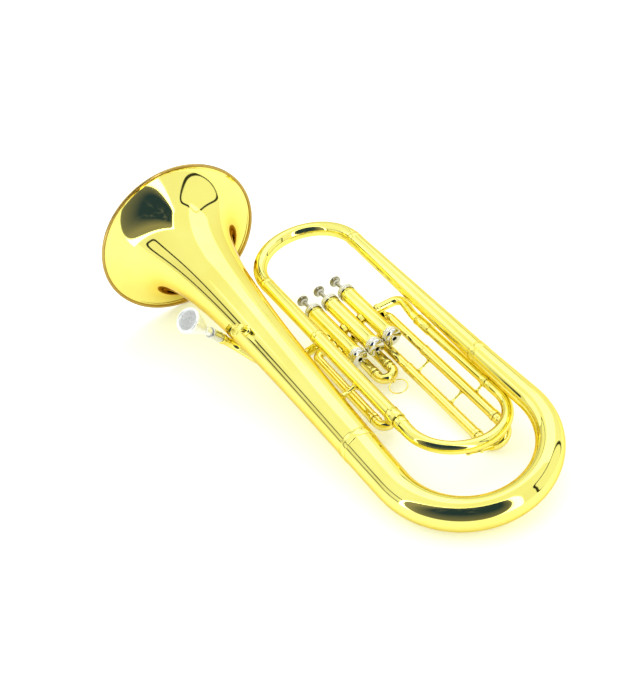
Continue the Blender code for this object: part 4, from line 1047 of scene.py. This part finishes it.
def make_world():
    """White tent round the horn, a little darker towards the ground, with thin dark seams."""
    world = bpy.data.worlds.new("studio_tent")
    bpy.context.scene.world = world
    world.use_nodes = True
    tree = world.node_tree
    tree.nodes.clear()
    place = tree.nodes.new("ShaderNodeTexCoord").outputs["Generated"]
    parts = node(tree, "ShaderNodeSeparateXYZ", Vector=place)
    tent = Painter(tree, None, None, turns=True)
    turn = tent.maths("ARCTAN2", parts.outputs["X"], parts.outputs["Y"])
    tent.across = tent.maths("MULTIPLY", turn, math.degrees(1.0))
    tent.along = tent.maths("MULTIPLY", tent.maths("ARCSINE", parts.outputs["Z"]), math.degrees(1.0))
    tent.lay((1.04, 1.09, 1.02))
    tent.lay((0.98, 1.00, 0.92), tent.pane(-140.0, 95.0, 5.0, 62.0, 0.7))
    tent.lay((0.72, 0.69, 0.56), tent.pane(-20.0, 62.0, 8.0, 30.0, 0.9))
    for line in (
            (-78.0, 27.0, 17.0, 12.0, 3.3), (121.0, 29.0, 25.0, 29.0, 3.4),
            (15.0, 34.0, 33.0, 13.0, 1.6)):
        tent.lay((0.03, 0.035, 0.03), tent.seam(*line))
    background = node(tree, "ShaderNodeBackground", Color=tent.colour, Strength=1.0)
    node(tree, "ShaderNodeOutputWorld", Surface=background.outputs[0])


def make_opening():
    """The tent's dark opening with its bright frame: a card that shows only in reflections."""
    left, right = Vector((-0.95, -0.05, 0.0)), Vector((0.25, -1.15, 0.0))
    bottom, top = -0.15, 2.90
    card = square("tent_opening", 1.0)
    half_width = (right - left) / 2
    half_height = Z_AXIS * (top - bottom) / 2
    facing = half_width.cross(half_height).normalized()
    pose = Matrix((half_width, half_height, facing)).transposed().to_4x4()
    pose.translation = (left + right) / 2 + Z_AXIS * (top + bottom) / 2
    card.matrix_world = pose
    for kind in ("camera", "diffuse", "transmission", "volume_scatter", "shadow"):
        setattr(card, "visible_" + kind, False)
    material, tree, _ = new_material("tent_opening")
    tree.nodes.clear()
    place = tree.nodes.new("ShaderNodeTexCoord").outputs["Object"]
    parts = node(tree, "ShaderNodeSeparateXYZ", Vector=place)
    clutter = noise(tree, place, Scale=4.0, Detail=6.0, Roughness=0.65)
    view = Painter(tree, parts.outputs["X"], parts.outputs["Y"])
    view.lay((4.2, 4.4, 4.2))
    view.lay((0.30, 0.29, 0.30), view.pane(-0.11, 0.82, -0.05, 0.88, 0.04))
    view.lay((0.020, 0.046, 0.13), view.pane(0.04, 0.74, -0.05, 1.0, 0.40))
    view.lay((0.30, 0.32, 0.50), view.maths(
        "MULTIPLY", ranged(tree, clutter, 0.0, 0.6, 0.50, 0.66), view.pane(-0.20, 0.50, -0.1, 0.7, 0.9)))
    glow = node(tree, "ShaderNodeEmission", Color=view.colour, Strength=1.0)
    node(tree, "ShaderNodeOutputMaterial", Surface=glow.outputs[0])
    card.data.materials.append(material)


def make_lights():
    """Large soft panel overhead, turned corner first, and a weaker one from the far side."""
    for name, spot, turned, size, power in (
            ("overhead_panel", (1.62, 0.95, 2.2), 45.0, 2.4, 17.5),
            ("far_panel", (-1.2, 1.9, 1.6), 0.0, 1.2, 3.6)):
        data = bpy.data.lights.new(name, "AREA")
        data.size = size
        data.energy = power
        lamp = bpy.data.objects.new(name, data)
        lamp.location = spot
        lamp.rotation_mode = "QUATERNION"
        if turned:
            lamp.rotation_quaternion = Quaternion(Z_AXIS, math.radians(turned))
        else:
            lamp.rotation_quaternion = (Vector((0.0, 0.0, 0.05)) - Vector(spot)).to_track_quat("-Z", "Y")
        bpy.context.scene.collection.objects.link(lamp)


def make_camera():
    """Camera at the photograph's angle."""
    turn = HORN.to_3x3()
    right = (turn @ Vector((0.83573, -0.49174, -0.24445))).normalized()
    back = (turn @ Vector((-0.21015, -0.69763, 0.68495))).normalized()
    up = back.cross(right)
    data = bpy.data.cameras.new("photo_camera")
    data.lens = 63.38
    data.sensor_width = 36.0
    data.clip_start = 0.05
    data.clip_end = 50.0
    camera = bpy.data.objects.new("photo_camera", data)
    bpy.context.scene.collection.objects.link(camera)
    pose = Matrix((right, up, back)).transposed().to_4x4()
    pose.translation = HORN @ Vector((-0.304793, -0.959458, 1.132148))
    camera.matrix_world = pose
    bpy.context.scene.camera = camera


make_camera()
make_world()
make_opening()
make_lights()
make_floor()
make_bell()
make_main_tube()
make_tuning_slide()
make_outlet()
for valve in (1, 2, 3):
    make_casing(valve)
    make_caps(valve)
    make_button(valve)
    make_spring(valve)
make_crossover(1)
make_crossover(2)
make_first_slide()
make_second_slide()
make_third_slide()
make_braces()
make_receiver()
make_leadpipe()
make_lyre_holder()
make_mouthpiece()
make_water_key()
recolour_hidden_parts()
bpy.context.scene.view_settings.view_transform = "Standard"
